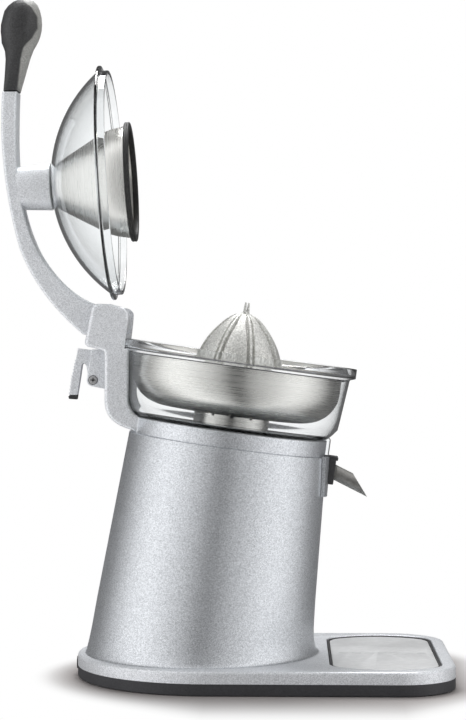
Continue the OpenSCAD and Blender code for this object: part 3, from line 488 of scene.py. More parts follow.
def piece(bm, name, body, material, replaced, place=None, sharpAngle=38):
    if place is not None:
        bmesh.ops.transform(bm, matrix=place, verts=bm.verts)
    bmesh.ops.scale(bm, vec=(mm, mm, mm), verts=bm.verts)
    bmesh.ops.recalc_face_normals(bm, faces=bm.faces)
    for edge in bm.edges:
        edge.smooth = len(edge.link_faces) != 2 or edge.calc_face_angle(0) < math.radians(sharpAngle)
    for face in bm.faces:
        face.smooth = True
    made = addObject(name, meshOf(bm, name))
    made.data.materials.append(materials[material])
    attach(made, body)
    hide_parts(replaced)
    return made


def secondFinish(made, material, where):
    made.data.materials.append(materials[material])
    for face in made.data.polygons:
        if where(face.center / mm):
            face.material_index = 1


baseSet = {"cornerRadius": 45, "soleEdge": 1.2, "plateEdge": 2.4, "seam": 0.05, "trayUnder": 0.3,
           "trayWallEdge": 0.8}
trayShape = {"endRadius": 58, "corner": 9, "roomX": 0.5, "roomY": 0.65}


def baseOutline(steps=20):
    # round at the back, and two round corners in front
    lo, hi = nodeBox("sole")
    half, corner = hi.y, baseSet["cornerRadius"]
    rearX, cornerX = lo.x + half, hi.x - corner
    return (arc((cornerX, corner - half), corner, -90, 0, steps)
            + arc((cornerX, half - corner), corner, 0, 90, steps)
            + arc((rearX, 0), half, 90, 270, 3 * steps))


def trayOutline(grow=0.0, steps=10):
    # straight sides between two shallow arcs
    lo, hi = nodeBox("drip_tray")
    centreX, halfX = (lo.x + hi.x) / 2, (hi.x - lo.x) / 2 + trayShape["roomX"] + grow
    radius = trayShape["endRadius"] + grow
    endY = hi.y + trayShape["roomY"] + grow - radius
    reach = math.degrees(math.asin(halfX / radius))
    right = arc((centreX, endY), radius, 90 - reach, 90 + reach, steps)
    left = arc((centreX, -endY), radius, 270 - reach, 270 + reach, steps)
    corner = trayShape["corner"]
    return ([(*right[0], corner)] + right[1:-1] + [(*right[-1], corner)]
            + [(*left[0], corner)] + left[1:-1] + [(*left[-1], corner)])


def makeBase():
    soleLow = nodeBox("sole")[0].z
    plateLow, plateHigh = (corner.z for corner in nodeBox("base_plate"))
    sole = pushed(baseOutline(), plateLow - soleLow - baseSet["seam"], "XY")
    softenEdges(sole, baseSet["soleEdge"], 3, lambda e: all(v.co.z < 0.1 for v in e.verts))
    piece(sole, "soleBand", "frame", "band", "sole", lift(soleLow))

    height = plateHigh - plateLow
    plate = pushed(baseOutline(), height, "XY")
    softenEdges(plate, baseSet["plateEdge"], 5, above(height - 0.1))
    trayFloor = nodeBox("drip_tray")[0].z - baseSet["trayUnder"] - plateLow
    plate = boolean(plate, moved(pushed(trayOutline(), 30, "XY"), lift(trayFloor)))
    wallEdge = baseSet["trayWallEdge"]
    softenEdges(plate, wallEdge, 3, lambda e: all(abs(v.co.z - height) < 0.02 for v in e.verts))
    piece(plate, "basePlate", "frame", "castPaint", "base_plate", lift(plateLow))


makeBase()
print("base ready")

traySet = {"gap": 0.5, "wall": 1.8, "floor": 1.4, "edge": 0.5}
grilleSet = {"inset": 2.6, "thick": 1.2, "edge": 0.5, "slots": 7, "slotPitch": 10.5, "slotLong": 7,
             "slotWide": 1.8, "leg": 3, "legOut": 60}


def makeTray():
    lo, hi = nodeBox("drip_tray")
    gap, wall = traySet["gap"], traySet["wall"]
    tray = pushed(trayOutline(-gap), hi.z - lo.z, "XY")
    tray = boolean(tray, moved(pushed(trayOutline(-gap - wall), 30, "XY"), lift(traySet["floor"])))
    softenEdges(tray, traySet["edge"], 2, above(hi.z - lo.z - 0.1), 50)
    piece(tray, "dripTray", "tray", "black", "drip_tray", lift(lo.z))


def makeGrille():
    s = grilleSet
    low, high = nodeBox("tray_grille")
    grille = pushed(trayOutline(-s["inset"]), s["thick"], "XY")
    centreX = (low.x + high.x) / 2
    halfLong, halfWide, halfLeg = s["slotLong"] / 2, s["slotWide"] / 2, s["leg"] / 2
    for index in range(s["slots"]):
        x = centreX + (index - (s["slots"] - 1) / 2) * s["slotPitch"]
        grille = boolean(grille, block((x - halfLong, -halfWide, -5), (x + halfLong, halfWide, 5)))
    softenEdges(grille, s["edge"], 2, above(s["thick"] - 0.1), 50)
    foot = low.z - high.z + s["thick"]
    legs = [block((centreX - halfLeg, side * s["legOut"] - halfLeg, foot),
                  (centreX + halfLeg, side * s["legOut"] + halfLeg, 0.1)) for side in (-1, 1)]
    piece(joined(grille, *legs), "trayInsert", "tray", "trayBrush", "tray_grille",
          lift(high.z - s["thick"]))


makeTray()
makeGrille()
print("tray ready")

housingSet = {"topRadius": 80.5, "topHeight": 189, "taper": 3.3, "topEdge": 0.8, "flareWide": 6,
              "flareHigh": 24, "flareRings": 12, "rearCut": 0.8, "back": 0.4, "sideRings": 8, "steps": 144}


def housingRadius(height):
    drop = housingSet["topHeight"] - height
    return housingSet["topRadius"] + drop * math.tan(math.radians(housingSet["taper"]))


def flareRing(ring, level, extra):
    # level ring round the leaning axis, widened by the flare, which is narrow at the back
    centre, radius = axisFoot.x + level * math.tan(tilt), housingRadius(level)
    for index, vert in enumerate(ring):
        turn = 2 * math.pi * index / len(ring)
        rear = max(0, -math.cos(turn)) ** 2
        grown = radius + extra * (1 - housingSet["rearCut"] * rear)
        reach = grown / math.cos(tilt) * math.cos(turn)
        vert.co = Vector((centre + reach - housingSet["back"], grown * math.sin(turn), level))


def makeHousing():
    # level rings up to the flare's top, then a straight cone that ends on the deck, square to the axis
    s = housingSet
    baseTop = nodeBox("base_plate")[1].z
    bm = bmesh.new()
    ring = bmesh.ops.create_circle(bm, cap_ends=False, radius=1, segments=s["steps"])["verts"]
    for k in range(s["flareRings"] + 1):
        ring = growRing(bm, ring) if k else ring
        bend = math.pi / 2 * k / s["flareRings"]
        level = baseTop + s["flareHigh"] * (1 - math.cos(bend))
        flareRing(ring, level, s["flareWide"] * (1 - math.sin(bend)))
    startZ = [(untilted @ v.co).z for v in ring]
    for k in range(1, s["sideRings"] + 1):
        ring = growRing(bm, ring)
        for index, vert in enumerate(ring):
            turn = 2 * math.pi * index / s["steps"]
            height = startZ[index] + (s["topHeight"] - startZ[index]) * k / s["sideRings"]
            radius = housingRadius(height)
            vert.co = tilted @ Vector((radius * math.cos(turn), radius * math.sin(turn), height))
    closeRing(bm, ring)
    softenEdges(bm, s["topEdge"], 3, above(120))
    piece(bm, "motorHousing", "frame", "paint", "body_housing")


makeHousing()
print("housing ready")

yokeSet = {"width": 60, "edge": 2.6, "fore": 20, "thick": 19.5, "headRise": 12.7, "relief": 17.6,
           "reliefHalf": 26.5, "hubRadius": 12, "armWide": 27, "pinNear": -27, "pinFar": 36.5,
           "pinHole": 4.03}
seatSet = {"outer": 79, "bore": 60, "high": 12.8, "edge": 0.7}
apronSet = {"half": 28, "long": 31, "thick": 3, "gap": 0.3, "notchHalf": 12.3}
earSet = {"wide": 5.7, "edge": 0.7, "gap": 0.3, "leverWide": 12}
bowlSet = {"rim": 262.5, "floor": 202.1, "lip": 95.5, "lipHigh": 8, "lipWide": 3.4, "wall": 2.2,
           "innerFloor": 205.1, "hubHigh": 20, "room": 0.7}
strainerRadius = 84.3
deck = housingSet["topHeight"]
seatTop = deck + seatSet["high"]


def bowlSide(grow):
    # outer side of the bowl from its foot to the step under the lip
    r, z, rim = strainerRadius + grow, bowlSet["floor"], bowlSet["rim"] - bowlSet["lipHigh"]
    return [(r - 6.6, z - grow), (r - 2.7, z + 3.4 - grow), (r + 2.2, z + 9.5), (r + 3.1, z + 16.7),
            (r + 6.6, rim - 1.5), (bowlSet["lip"] + grow, rim - grow)]


def columnOutline():
    # from the seat ring up the front, over the head and down the back
    px, pz = pivotWorld.x, pivotWorld.z
    front = px + yokeSet["fore"]
    rear, top = front - yokeSet["thick"], pz + yokeSet["headRise"]
    return ([(-62, deck + 3), (-62, deck + 17)]
            + curve([(-62, deck + 19.4), (-70, deck + 20), (front, deck + 24), (front, deck + 34.8)], 12)
            + arc((front - 7, top - 9.5), 7, 0, 80, 8)
            + [(px + 5.4, top - 0.2), (px - 2.6, top)] + arc((px - 4.6, top - 5.5), 5.5, 90, 170, 7)
            + arc((px - 11, pz - 17.5), 4.4, 190, 270, 6)
            + [(px - 2.6, pz - 24.1)]
            + curve([(rear - 1, pz - 24.9), (rear, pz - 25.8), (rear, pz - 27.3), (rear, pz - 30.3)], 5)
            + curve([(rear, deck + 34), (rear, deck + 19), (-88, deck + 14), (-77, deck + 10.5)], 12))


def makeColumn():
    # room for the bowl, the fork for the arm, the dome's sweep and the pin's hole are cut away
    p, room, lip = pivotWorld, bowlSet["room"], bowlSet["lip"]
    way = spun([(0, bowlSet["floor"] - 0.25)] + bowlSide(room) + [(lip + room, 420), (0, 420)], 128)
    half, past = yokeSet["armWide"] / 2 + 0.4, 300
    fork = block((p.x - past, -half, p.z - yokeSet["hubRadius"] - 4), (p.x + 14, half, p.z + past))
    forkFront = block((p.x + 13.9, -half, p.z - 1), (p.x + past, half, p.z + past))
    sector = arc((0, 0), yokeSet["relief"], -38, 96, 16) + [(-2, 40), (40, 40), (40, -11)]
    sweep = moved(pushed(sector, 2 * yokeSet["reliefHalf"]), Matrix.Translation(p))
    near, far = yokeSet["pinNear"], yokeSet["pinFar"]
    pinHole = yRod(p + Vector((0, (near + far) / 2, 0)), yokeSet["pinHole"], far - near)
    column = pushed(columnOutline(), yokeSet["width"], "XZ", yokeSet["edge"], 4)
    return cutBy(column, moved(way, tilted), fork, forkFront, sweep, pinHole)


def makeSeatRing():
    bore, outer, edge = seatSet["bore"], seatSet["outer"], seatSet["edge"]
    section = [(bore, deck), (outer, deck, edge / 2), (outer, seatTop, edge), (bore, seatTop, edge)]
    return moved(spun(section), tilted)


def makeApron():
    # rounded tongue under the ring that follows the housing
    half, low = apronSet["half"], deck - apronSet["long"]
    inner, outer = apronSet["gap"], apronSet["thick"]
    shell = spun([(housingRadius(low) + inner, low), (housingRadius(low) + outer, low),
                  (housingRadius(deck) + outer, deck + 1), (housingRadius(deck) + inner, deck + 1)])
    tongue = arc((0, low + 18), half, 220, 320, 16) + [(half, deck + 20), (-half, deck + 20)]
    shape = moved(pushed(tongue, 200), Matrix.Translation((100, 0, 0)) @ Matrix.Rotation(math.pi / 2, 4, "Z"))
    apron = boolean(shell, shape, "INTERSECT")
    side, z = apronSet["notchHalf"], spoutLocal.z
    return moved(boolean(apron, block((60, -side, z - 11.8), (110, side, z + 40))), tilted)


def makeEars():
    root = pivotWorld.x + yokeSet["fore"] - yokeSet["thick"] - catchWorld.x + 1
    outline = [(-1.2, 24.7)] + arc((0, 0), 5.2, 165, 262, 10) + [(root, -7.5), (root, 24.7)]
    offset = earSet["leverWide"] / 2 + earSet["gap"] + earSet["wide"] / 2
    return [moved(pushed(outline, earSet["wide"], "XZ", earSet["edge"], 3),
                  Matrix.Translation(catchWorld + Vector((0, side * offset, 0)))) for side in (-1, 1)]


def makeYoke():
    parts = joined(makeColumn(), makeSeatRing(), makeApron(), *makeEars())
    yoke = piece(parts, "yokeCasting", "frame", "castPaint", "yoke")
    # ring and apron carry the housing's paint
    secondFinish(yoke, "paint", lambda c: (untilted @ c).z < seatTop + 1 and (untilted @ c).x > -72)


makeYoke()
print("yoke ready")

# the thumb's end below paintedShadeBelow is painted black as painted shade
leverSet = {"edge": 0.6, "ridges": 6, "ridgeOut": 0.8, "paintedShadeBelow": -12}
screwSet = {"head": 3.8, "high": 1.8, "edge": 0.7, "slotHalf": 2.0, "slotWide": 0.8, "slotDeep": 0.9,
            "sunk": 0.9, "rod": 2}


def makeLever():
    # top, front and the inside of its hook, then the ridged thumb side
    thumb = [Vector(p) for p in ((-20.2, -15.4), (-17.8, 2), (-14.5, 16.6))]
    ridges = []
    for k in (0, 1):
        span = thumb[k + 1] - thumb[k]
        for i in range(leverSet["ridges"]):
            foot = thumb[k] + span * i / leverSet["ridges"]
            ridges += [tuple(foot), tuple(foot + span / 9 + Vector((-leverSet["ridgeOut"], 0)))]
    outline = [(-12.9, 25.5), (-4.8, 24.5), (3.1, 23.5), (4.6, -0.9), (0.6, -4.5), (-3.8, -2.9), (-5.9, 11.1),
               (-7.9, 13.7), (-9.7, 12.5), (-10.9, 4.4), (-12.1, -3.7), (-14.1, -15.8)]
    lever = pushed(outline + ridges + [tuple(thumb[2])], earSet["leverWide"], "XZ", leverSet["edge"], 2)
    shadeBelow = leverSet["paintedShadeBelow"]
    bmesh.ops.bisect_plane(lever, geom=list(lever.verts) + list(lever.edges) + list(lever.faces), dist=1e-4,
                           plane_co=(-17, 0, shadeBelow), plane_no=(0, 0, 1))
    made = piece(lever, "thumbLever", "catch", "castPaint", "catch_lever",
                 Matrix.Translation(catchWorld))
    # painted shade: the thumb's lower end is painted black for the shade there
    secondFinish(made, "black", lambda c: c.z < catchWorld.z + shadeBelow and c.x < catchWorld.x - 10)


def makeCatchScrew():
    s, reach = screwSet, earSet["leverWide"] / 2 + earSet["wide"] + earSet["gap"]
    half = s["slotWide"] / 2
    head = moved(spun([(0, 0), (s["head"], 0), (s["head"], s["high"], s["edge"]), (0, s["high"])], 48),
                 Matrix.Rotation(math.pi / 2, 4, "X"))
    for turn in (0, 90):
        bar = block((-s["slotHalf"], -s["high"] - 1, -half), (s["slotHalf"], s["slotDeep"] - s["high"], half))
        head = boolean(head, moved(bar, Matrix.Rotation(math.radians(turn), 4, "Y")))
    head = moved(head, Matrix.Translation((0, s["sunk"] - reach, 0)))
    made = piece(joined(head, yRod((0, 0, 0), s["rod"], 2 * reach - 0.6)), "catchScrew", "frame", "paintedShadeSteel",
                 "catch_screw", Matrix.Translation(catchWorld))
    # the flat of the head is plain steel, its rim and its cross are painted near black as painted shade
    flat = catchWorld.y + s["sunk"] - reach - s["high"]
    secondFinish(made, "plainSteel", lambda c: abs(c.y - flat) < 0.05)


makeLever()
makeCatchScrew()
print("catch ready")

neckSet = {"wide": 20, "long": 10, "wall": 1.6, "edge": 1.2, "in": 7, "rise": 7}
neckRear = seatSet["outer"] - neckSet["in"]


def makeNeck():
    half, low = neckSet["wide"] / 2, spoutLocal.z + neckSet["rise"]
    neck = block((neckRear, -half, low), (neckRear + neckSet["long"], half, bowlSet["floor"] + 2))
    softenEdges(neck, neckSet["edge"], 3)
    return neck


def makeBowl():
    rim, floor, wall, lip = bowlSet["rim"], bowlSet["floor"], bowlSet["wall"], bowlSet["lip"]
    foot, heel, low, mid, high, step = bowlSide(0)
    lipInner = lip - bowlSet["lipWide"]
    inner = bowlSet["innerFloor"]
    hub = inner + bowlSet["hubHigh"]
    outside = [(8, floor), (foot[0], floor, 1.6), (*heel, 3), low, mid, (*high, 0.8), (*step, 0.7),
               (lip, rim, 0.7)]
    inside = [(lipInner, rim, 0.7), (lipInner, step[1] + wall, 0.8), (high[0] - wall, high[1] + 0.5),
              (mid[0] - wall, mid[1]), (low[0] - wall - 0.3, low[1] + 1.5, 4), (foot[0] + 1, inner, 3),
              (11, inner, 1.5), (10.4, hub, 0.6), (8, hub, 0.6)]
    bowl = boolean(spun(outside + inside, 160), makeNeck(), "UNION")
    # the outlet runs through floor and neck
    half, low = neckSet["wide"] / 2 - neckSet["wall"], spoutLocal.z + neckSet["rise"] - 4
    front = neckRear + neckSet["long"] - neckSet["wall"]
    outlet = block((neckRear + neckSet["wall"], -half, low), (front, half, floor + 40))
    piece(boolean(bowl, outlet), "clearBowl", "bowl", "bowlClear", "bowl", tilted)


makeBowl()
print("bowl ready")

strainerSet = {"sheet": 1.2, "rimOut": 3.9, "rimDrop": 8.6, "rimThick": 1.3, "deep": 49.7, "bend": 28,
               "bendDrop": 21.7, "flat": 47, "flatRise": 0.3, "bore": 16, "collar": 30.5, "collarGap": 0.3,
               "floorSlots": 24, "floorSlotRings": ((41, 53), (57, 66)), "floorSlotHalf": 0.8,
               "collarSlots": 12, "collarSlotHalf": 1.3, "collarTurn": 2}
dishTop = bowlSet["rim"] - strainerSet["rimDrop"]
dishFloor = bowlSet["rim"] - strainerSet["deep"]


def makeDish():
    # rim, outside down to the hub, and inside back up
    s, r, sheet, bore = strainerSet, strainerRadius, strainerSet["sheet"], strainerSet["bore"]
    top, floor, out, under = dishTop, dishFloor, r + s["rimOut"], dishTop - s["rimThick"]
    bend, rise = (r - s["bend"], bowlSet["rim"] - s["bendDrop"]), floor + s["flatRise"]
    lip = [(out, top, 0.5), (out, under, 0.5), (r, under, 0.5)]
    outer = [(r, top - 3, 1)] + arc(bend, s["bend"], 0, -80, 24)
    outer += [(s["flat"], rise), (bore, floor), (bore, floor - 2), (bore - sheet, floor - 2)]
    inner = [(bore - sheet, floor + 12), (bore, floor + 12), (bore, floor + sheet), (s["flat"], rise + sheet)]
    inner += arc(bend, s["bend"] - sheet, -80, 0, 24) + [(r - sheet, top, 0.5)]
    slots = []
    for index in range(s["floorSlots"]):
        turn = Matrix.Rotation(2 * math.pi * index / s["floorSlots"], 4, "Z")
        for low, high in s["floorSlotRings"]:
            slot = block((low, -s["floorSlotHalf"], floor - 4), (high, s["floorSlotHalf"], floor + 5))
            slots.append(moved(slot, turn))
    return boolean(spun(lip + outer + inner, 144), joined(*slots))


def makeSlottedCollar():
    # ring that stands on the bowl's floor, slotted at its top
    s, outer, inner = strainerSet, strainerSet["collar"], strainerSet["collar"] - strainerSet["sheet"]
    low, top = bowlSet["innerFloor"] + s["collarGap"], dishFloor + 0.6
    collar = spun([(inner, low), (outer, low), (outer, top), (inner, top)], 96)
    for index in range(s["collarSlots"]):
        turn = Matrix.Rotation(math.radians(360 * index / s["collarSlots"] + s["collarTurn"]), 4, "Z")
        slot = block((26, -s["collarSlotHalf"], dishFloor - 2.6), (34, s["collarSlotHalf"], dishFloor - 0.4))
        collar = boolean(collar, moved(slot, turn))
    return collar


def makeStrainer():
    made = piece(joined(makeDish(), makeSlottedCollar()), "strainerDish", "strainer", "spunSteel",
                 "strainer", tilted)
    # painted shade: the flat rim is painted near black, darker than the dish, for the shade along it
    low, inner = dishTop - strainerSet["rimThick"] - 0.1, strainerRadius + 0.2
    secondFinish(made, "paintedShadeSteel", lambda c: (untilted @ c).z > low and (untilted @ c).xy.length > inner)


makeStrainer()
print("strainer ready")

reamerSet = {"radius": 38, "tip": 41.7, "steps": 640, "ribs": 8, "phase": 16.5, "ribHalf": 1.1,
             "grooveWide": 1.8, "groove": 3.4, "lobeDrop": 0.8, "shortRib": 1.0, "skirt": 0.6}
prongSet = {"count": 3, "long": 10, "foot": 1.5, "top": 0.7, "out": 1.7}


def reamerEnvelope():
    r, tip = reamerSet["radius"], reamerSet["tip"]
    side = curve([(r, -36), (r - 0.5, -12), (36.8, 5), (18, 24)], 34)
    return side + curve([(17.2, 24.8), (12, 30), (8, 32), (3.4, tip - 9)], 12)


def smooth(low, high, value):
    t = min(1, max(0, (value - low) / (high - low)))
    return t * t * (3 - 2 * t)


def reamerDepth(radius, height, angle):
    # ribs stay on the envelope, with a groove on both sides, and the lobe between comes nearly back out
    pitch = 2 * math.pi / reamerSet["ribs"]
    share = ((angle - math.radians(reamerSet["phase"])) / pitch) % 1
    squeeze = min(1, radius / 18)
    away = min(share, 1 - share) * pitch * radius / squeeze
    half, groove = reamerSet["ribHalf"], reamerSet["grooveWide"]
    offRib = smooth(half - 0.25, half + 0.35, away)
    onLobe = smooth(half + groove - 0.5, half + groove + 0.9, away)
    middle = abs(share - 0.5) * pitch * radius
    small = smooth(3, -12, height) * (1 - smooth(0.6, 1.3, middle))
    depth = offRib * (reamerSet["groove"] * (1 - onLobe) + reamerSet["lobeDrop"] * onLobe)
    return squeeze * max(0, depth - reamerSet["shortRib"] * small)


def makeProngs():
    # small points that stand round the tip
    s, prongs = prongSet, []
    for index in range(s["count"]):
        prong = bmesh.new()
        bmesh.ops.create_cone(prong, cap_ends=True, segments=20, radius1=s["foot"], radius2=s["top"],
                              depth=s["long"])
        place = Matrix.Translation((s["out"], 0, reamerSet["tip"] - s["long"] / 2))
        prongs.append(moved(prong, Matrix.Rotation(math.radians(360 / s["count"] * index), 4, "Z") @ place))
    return prongs


def makeReamer():
    # the envelope is spun, then each point of its outside is drawn in by the groove's depth there
    tip, skirt = reamerSet["tip"], reamerSet["radius"] + reamerSet["skirt"]
    outside = [(20, -39), (skirt, -39, 0.8), (skirt, -36.2, 0.8)] + reamerEnvelope()
    under = [(2.2, tip - 7.4), (0, tip - 7), (0, -8), (22, -10), (30, -34), (20, -37)]
    bm = spun(outside + under, reamerSet["steps"])
    for vert in bm.verts:
        radius, height = math.hypot(vert.co.x, vert.co.y), vert.co.z
        if radius < 3.6 or height < -36.1 or (height < -7 and radius < 32):
            continue
        scale = 1 - reamerDepth(radius, height, math.atan2(vert.co.y, vert.co.x)) / radius
        vert.co.x *= scale
        vert.co.y *= scale
    boss = spun([(5.8, -33), (11, -33, 0.5), (11, -6), (5.8, -6)], 48)
    piece(joined(bm, boss, *makeProngs()), "reamerCone", "reamer", "castReamer", "reamer",
          tilted @ lift(bowlSet["rim"]), 50)


makeReamer()
print("reamer ready")

collarSet = {"wide": 24, "front": 88.5, "edge": 0.8, "low": -11.5, "high": 11, "flange": 3, "flangeOut": 1.4,
             "barrelGap": 0.3, "slotGap": 1.4}
tubeSet = {"barrel": 6.9, "barrelWide": 15, "radius": 5.9, "sheet": 0.9, "drop": 26.9, "topLong": 18.8}


def makeCollar():
    # a flanged block with room for the bowl's neck, the barrel and the tube's swing
    s, c, half = spoutLocal, collarSet, collarSet["wide"] / 2
    rear, high = housingRadius(s.z) - 4, s.z + c["high"]
    collar = block((rear, -half, s.z + c["low"]), (c["front"], half, high))
    softenEdges(collar, c["edge"], 3)
    flange = block((rear, -half, high - c["flange"]), (c["front"] + c["flangeOut"], half, high))
    softenEdges(flange, c["edge"], 3)
    neck, room = neckSet["wide"] / 2 + 0.4, 0.5
    slot = tubeSet["radius"] * 2 + c["slotGap"]
    swing = [arc((0, 0), 30, turn, turn, 1)[0] for turn in (-32, 28)]
    collar = cutBy(boolean(collar, flange, "UNION"),
                   block((neckRear - room, -neck, s.z + neckSet["rise"] - 1),
                         (neckRear + neckSet["long"] + room, neck, s.z + 26)),
                   yRod(s, tubeSet["barrel"] + c["barrelGap"], tubeSet["barrelWide"] + 0.8),
                   moved(pushed([(-2, -7), *swing, (-2, 7)], slot), Matrix.Translation(s)),
                   block((s.x - 5, -slot / 2, s.z), (s.x, slot / 2, s.z + 10)))
    piece(collar, "spoutCollar", "frame", "black", "spout_collar", tilted)


def makeSpoutTube():
    # a tube out of a cross barrel, open to the neck above it and cut off aslant
    t = tubeSet
    lean = Matrix.Rotation(math.radians(90 + t["drop"]) - tilt, 4, "Y")
    barrel = yRod((0, 0, 0), t["barrel"], t["barrelWide"])
    body = boolean(barrel, moved(rod(t["radius"], 0, 40, 64), lean), "UNION")
    bore = moved(rod(t["radius"] - t["sheet"], -12, 48, 64), lean)
    mouth = [(-8, t["topLong"] - 3.2), (8, t["topLong"] + 22.5), (8, 90), (-8, 90)]
    body = cutBy(body, bore, block((-20, -3.4, 1), (0, 3.4, 21)), moved(pushed(mouth, 20), lean))
    piece(body, "spoutTube", "spout", "tubeSteel", "spout_tube",
          tilted @ Matrix.Translation(spoutLocal))


makeCollar()
makeSpoutTube()
print("spout ready")

armSet = {"edge": 2.0, "pinHole": 4.05, "bossLow": 19.2, "bossHigh": 17.3, "bossTop": 66, "flangeDrop": 5.8,
          "domeTop": 44}
flangeZ = pivot.z - armSet["flangeDrop"]
domeHub = flangeZ + armSet["domeTop"]


def makeArm():
    outer = curve([(189.1, 72.7), (158, 77.2), (112, 77.5), (63, 66.5)], 24)
    outer += curve([(61, 65.9), (36, 58), (12, 43), (-10.5, 18.9)], 20)
    hub = arc((0, 0), yokeSet["hubRadius"], 150, 395, 28)
    inner = curve([(14.1, 10.1), (20, 24), (34, 39), (56.3, 50.6)], 20)
    inner += curve([(60, 52.3), (96, 67), (134, 66.5), (188.4, 61.1)], 24)
    bar = pushed(outer + hub + inner, yokeSet["armWide"], "XZ", armSet["edge"], 4)
    bar = boolean(moved(bar, Matrix.Translation(pivot)), yRod(pivot, armSet["pinHole"], 60))
    top, low, high = pivot.z + armSet["bossTop"], armSet["bossLow"], armSet["bossHigh"]
    boss = spun([(0, domeHub), (low, domeHub, 1.2), (high, top - 2), (high, top), (0, top)], 96)
    piece(joined(bar, boss), "leverArm", "arm", "castPaint", "arm", armPlace)


makeArm()
print("arm ready")

gripSteps = 96
gripSections = [
    # along the arm, height, half thickness, half width, squareness
    (189.6, 66.4, 5.9, 13.0, 6.0), (193.0, 65.6, 6.5, 12.7, 5.0), (200.0, 63.8, 7.6, 12.0, 3.6),
    (208.0, 61.9, 8.8, 11.4, 2.8), (216.0, 60.0, 10.0, 11.2, 2.3), (222.5, 58.6, 11.6, 12.0, 2.1),
    (226.0, 58.0, 13.2, 14.2, 2.1), (229.5, 57.6, 14.8, 16.8, 2.2), (233.5, 56.7, 15.6, 18.8, 2.3),
    (238.5, 56.1, 16.4, 19.8, 2.4), (243.6, 55.5, 16.4, 20.0, 2.5), (249.5, 54.7, 15.5, 19.4, 2.4),
    (254.5, 54.4, 14.3, 17.8, 2.3), (258.5, 53.6, 12.0, 15.3, 2.2), (261.5, 53.0, 8.8, 11.6, 2.1),
    (263.3, 52.6, 5.0, 7.0, 2.0)]
gripPaintedLight = {
    # painted light: the edge between black and the paler painted lit side, from the grip's foot to its top
    # and from back to front, in metres
    "foot": 0.4726, "top": 0.5438, "back": -0.173, "front": -0.1525, "sharp": 16.0,
    "edge": [(0.0, 0.125), (0.36, 0.255), (0.48, 0.36), (0.53, 0.5), (0.59, 0.72), (0.70, 0.93), (0.83, 0.92),
             (0.93, 0.72), (1.0, 0.4)],
    # speckled greys of the painted lit side
    "speckle": 900.0, "dark": (0.09, 0.09, 0.088, 1), "light": (0.42, 0.42, 0.40, 1)}


def gripRing(section):
    along, height, halfZ, halfY, square = section
    for index in range(gripSteps):
        turn = 2 * math.pi * index / gripSteps
        c, s = math.cos(turn), math.sin(turn)
        yield Vector((along, halfY * math.copysign(abs(s) ** (2 / square), s),
                      height + halfZ * math.copysign(abs(c) ** (2 / square), c)))


def paintedLitSide():
    # painted light: the grip's front side is painted a paler speckled grey, standing in for light that falls
    # on it from the right
    tone, tree = gripPaintedLight, materials["grip"].node_tree
    socket = tree.nodes["Principled BSDF"].inputs["Base Color"]
    place = addNode(tree, "TexCoord").outputs["Object"]
    split = addNode(tree, "SeparateXYZ")
    tree.links.new(place, split.inputs[0])
    edge = greyRamp(tree, spread(tree, split.outputs["Z"], tone["foot"], tone["top"]), tone["edge"])
    across = spread(tree, split.outputs["X"], tone["back"], tone["front"])
    side = calc(tree, "MULTIPLY", calc(tree, "SUBTRACT", across, edge), tone["sharp"], clamp=True)
    noise = addNode(tree, "TexNoise", {"Scale": tone["speckle"]})
    tree.links.new(place, noise.inputs["Vector"])
    grey = mixColour(tree, noise.outputs["Fac"], tone["dark"], tone["light"])
    tree.links.new(mixColour(tree, side, socket.links[0].from_socket, grey), socket)


def makeGrip():
    bm = bmesh.new()
    first = bmesh.ops.create_circle(bm, cap_ends=False, radius=1, segments=gripSteps)["verts"]
    ring = first
    for index, section in enumerate(gripSections):
        ring = growRing(bm, ring) if index else ring
        for vert, spot in zip(ring, gripRing(section)):
            vert.co = spot
    closeRing(bm, first)
    closeRing(bm, ring)
    place = armPlace @ Matrix.Translation(pivot)
    piece(bm, "handleGrip", "arm", "grip", "handle_grip", place, 60)
    # painted light on the grip's front side
    paintedLitSide()


makeGrip()
print("grip ready")

domeSet = {"ball": 115, "wall": 2.2, "flange": 94.8, "lip": 90.7, "lipHigh": 8, "hubThick": 3,
           "hubFlat": 20, "hubFoot": 24}


def makeDome():
    ball, wall, lip, flange = domeSet["ball"], domeSet["wall"], domeSet["lip"], domeSet["flange"]
    lipLow = flangeZ - domeSet["lipHigh"]
    centre = (0, flangeZ - math.sqrt(ball ** 2 - lip ** 2))
    low = math.degrees(math.asin((flangeZ - centre[1]) / ball))
    top = math.degrees(math.acos((armSet["bossHigh"] + 1) / ball))
    inner = ball - wall
    hub, under = domeHub - domeSet["hubThick"], flangeZ - wall
    section = ([(lip, lipLow, 0.7), (lip, under, 0.5), (flange, under, 0.6), (flange, flangeZ, 0.6)]
               + arc(centre, ball, low, top, 32)
               + [(4, domeHub - 0.3), (4, hub), (domeSet["hubFlat"], hub)]
               + arc(centre, inner, math.degrees(math.acos(domeSet["hubFoot"] / inner)), low, 32)
               + [(lip - wall, flangeZ - 1, 0.6), (lip - wall, lipLow, 0.7)])
    piece(spun(section, 160), "domeCover", "arm", "clear", "dome_cover", armPlace)


makeDome()
print("dome ready")

funnelSet = {"flat": 18, "waist": 42.5, "mouth": 45.4, "mouthDrop": 20, "mouthHigh": 2, "sheet": 1}
ringSet = {"outer": 48.6, "half": 2.2, "in": 1.6, "under": 0.2}


def makeFunnel():
    sheet, mouth, waist = funnelSet["sheet"], funnelSet["mouth"], funnelSet["waist"]
    top, low, flat = domeHub - 3.3, flangeZ - funnelSet["mouthDrop"], funnelSet["flat"]
    high = low + funnelSet["mouthHigh"]
    section = [(4, top), (flat, top, 3), (waist, flangeZ - 2.5, 6), (mouth, high), (mouth, low),
               (mouth - sheet, low), (mouth - sheet, high + 0.1), (waist - sheet, flangeZ - 2.8, 5),
               (flat - 0.6, top - sheet, 2), (4, top - sheet)]
    piece(spun(section, 144), "fruitFunnel", "arm", "funnelSteel", "fruit_funnel", armPlace)


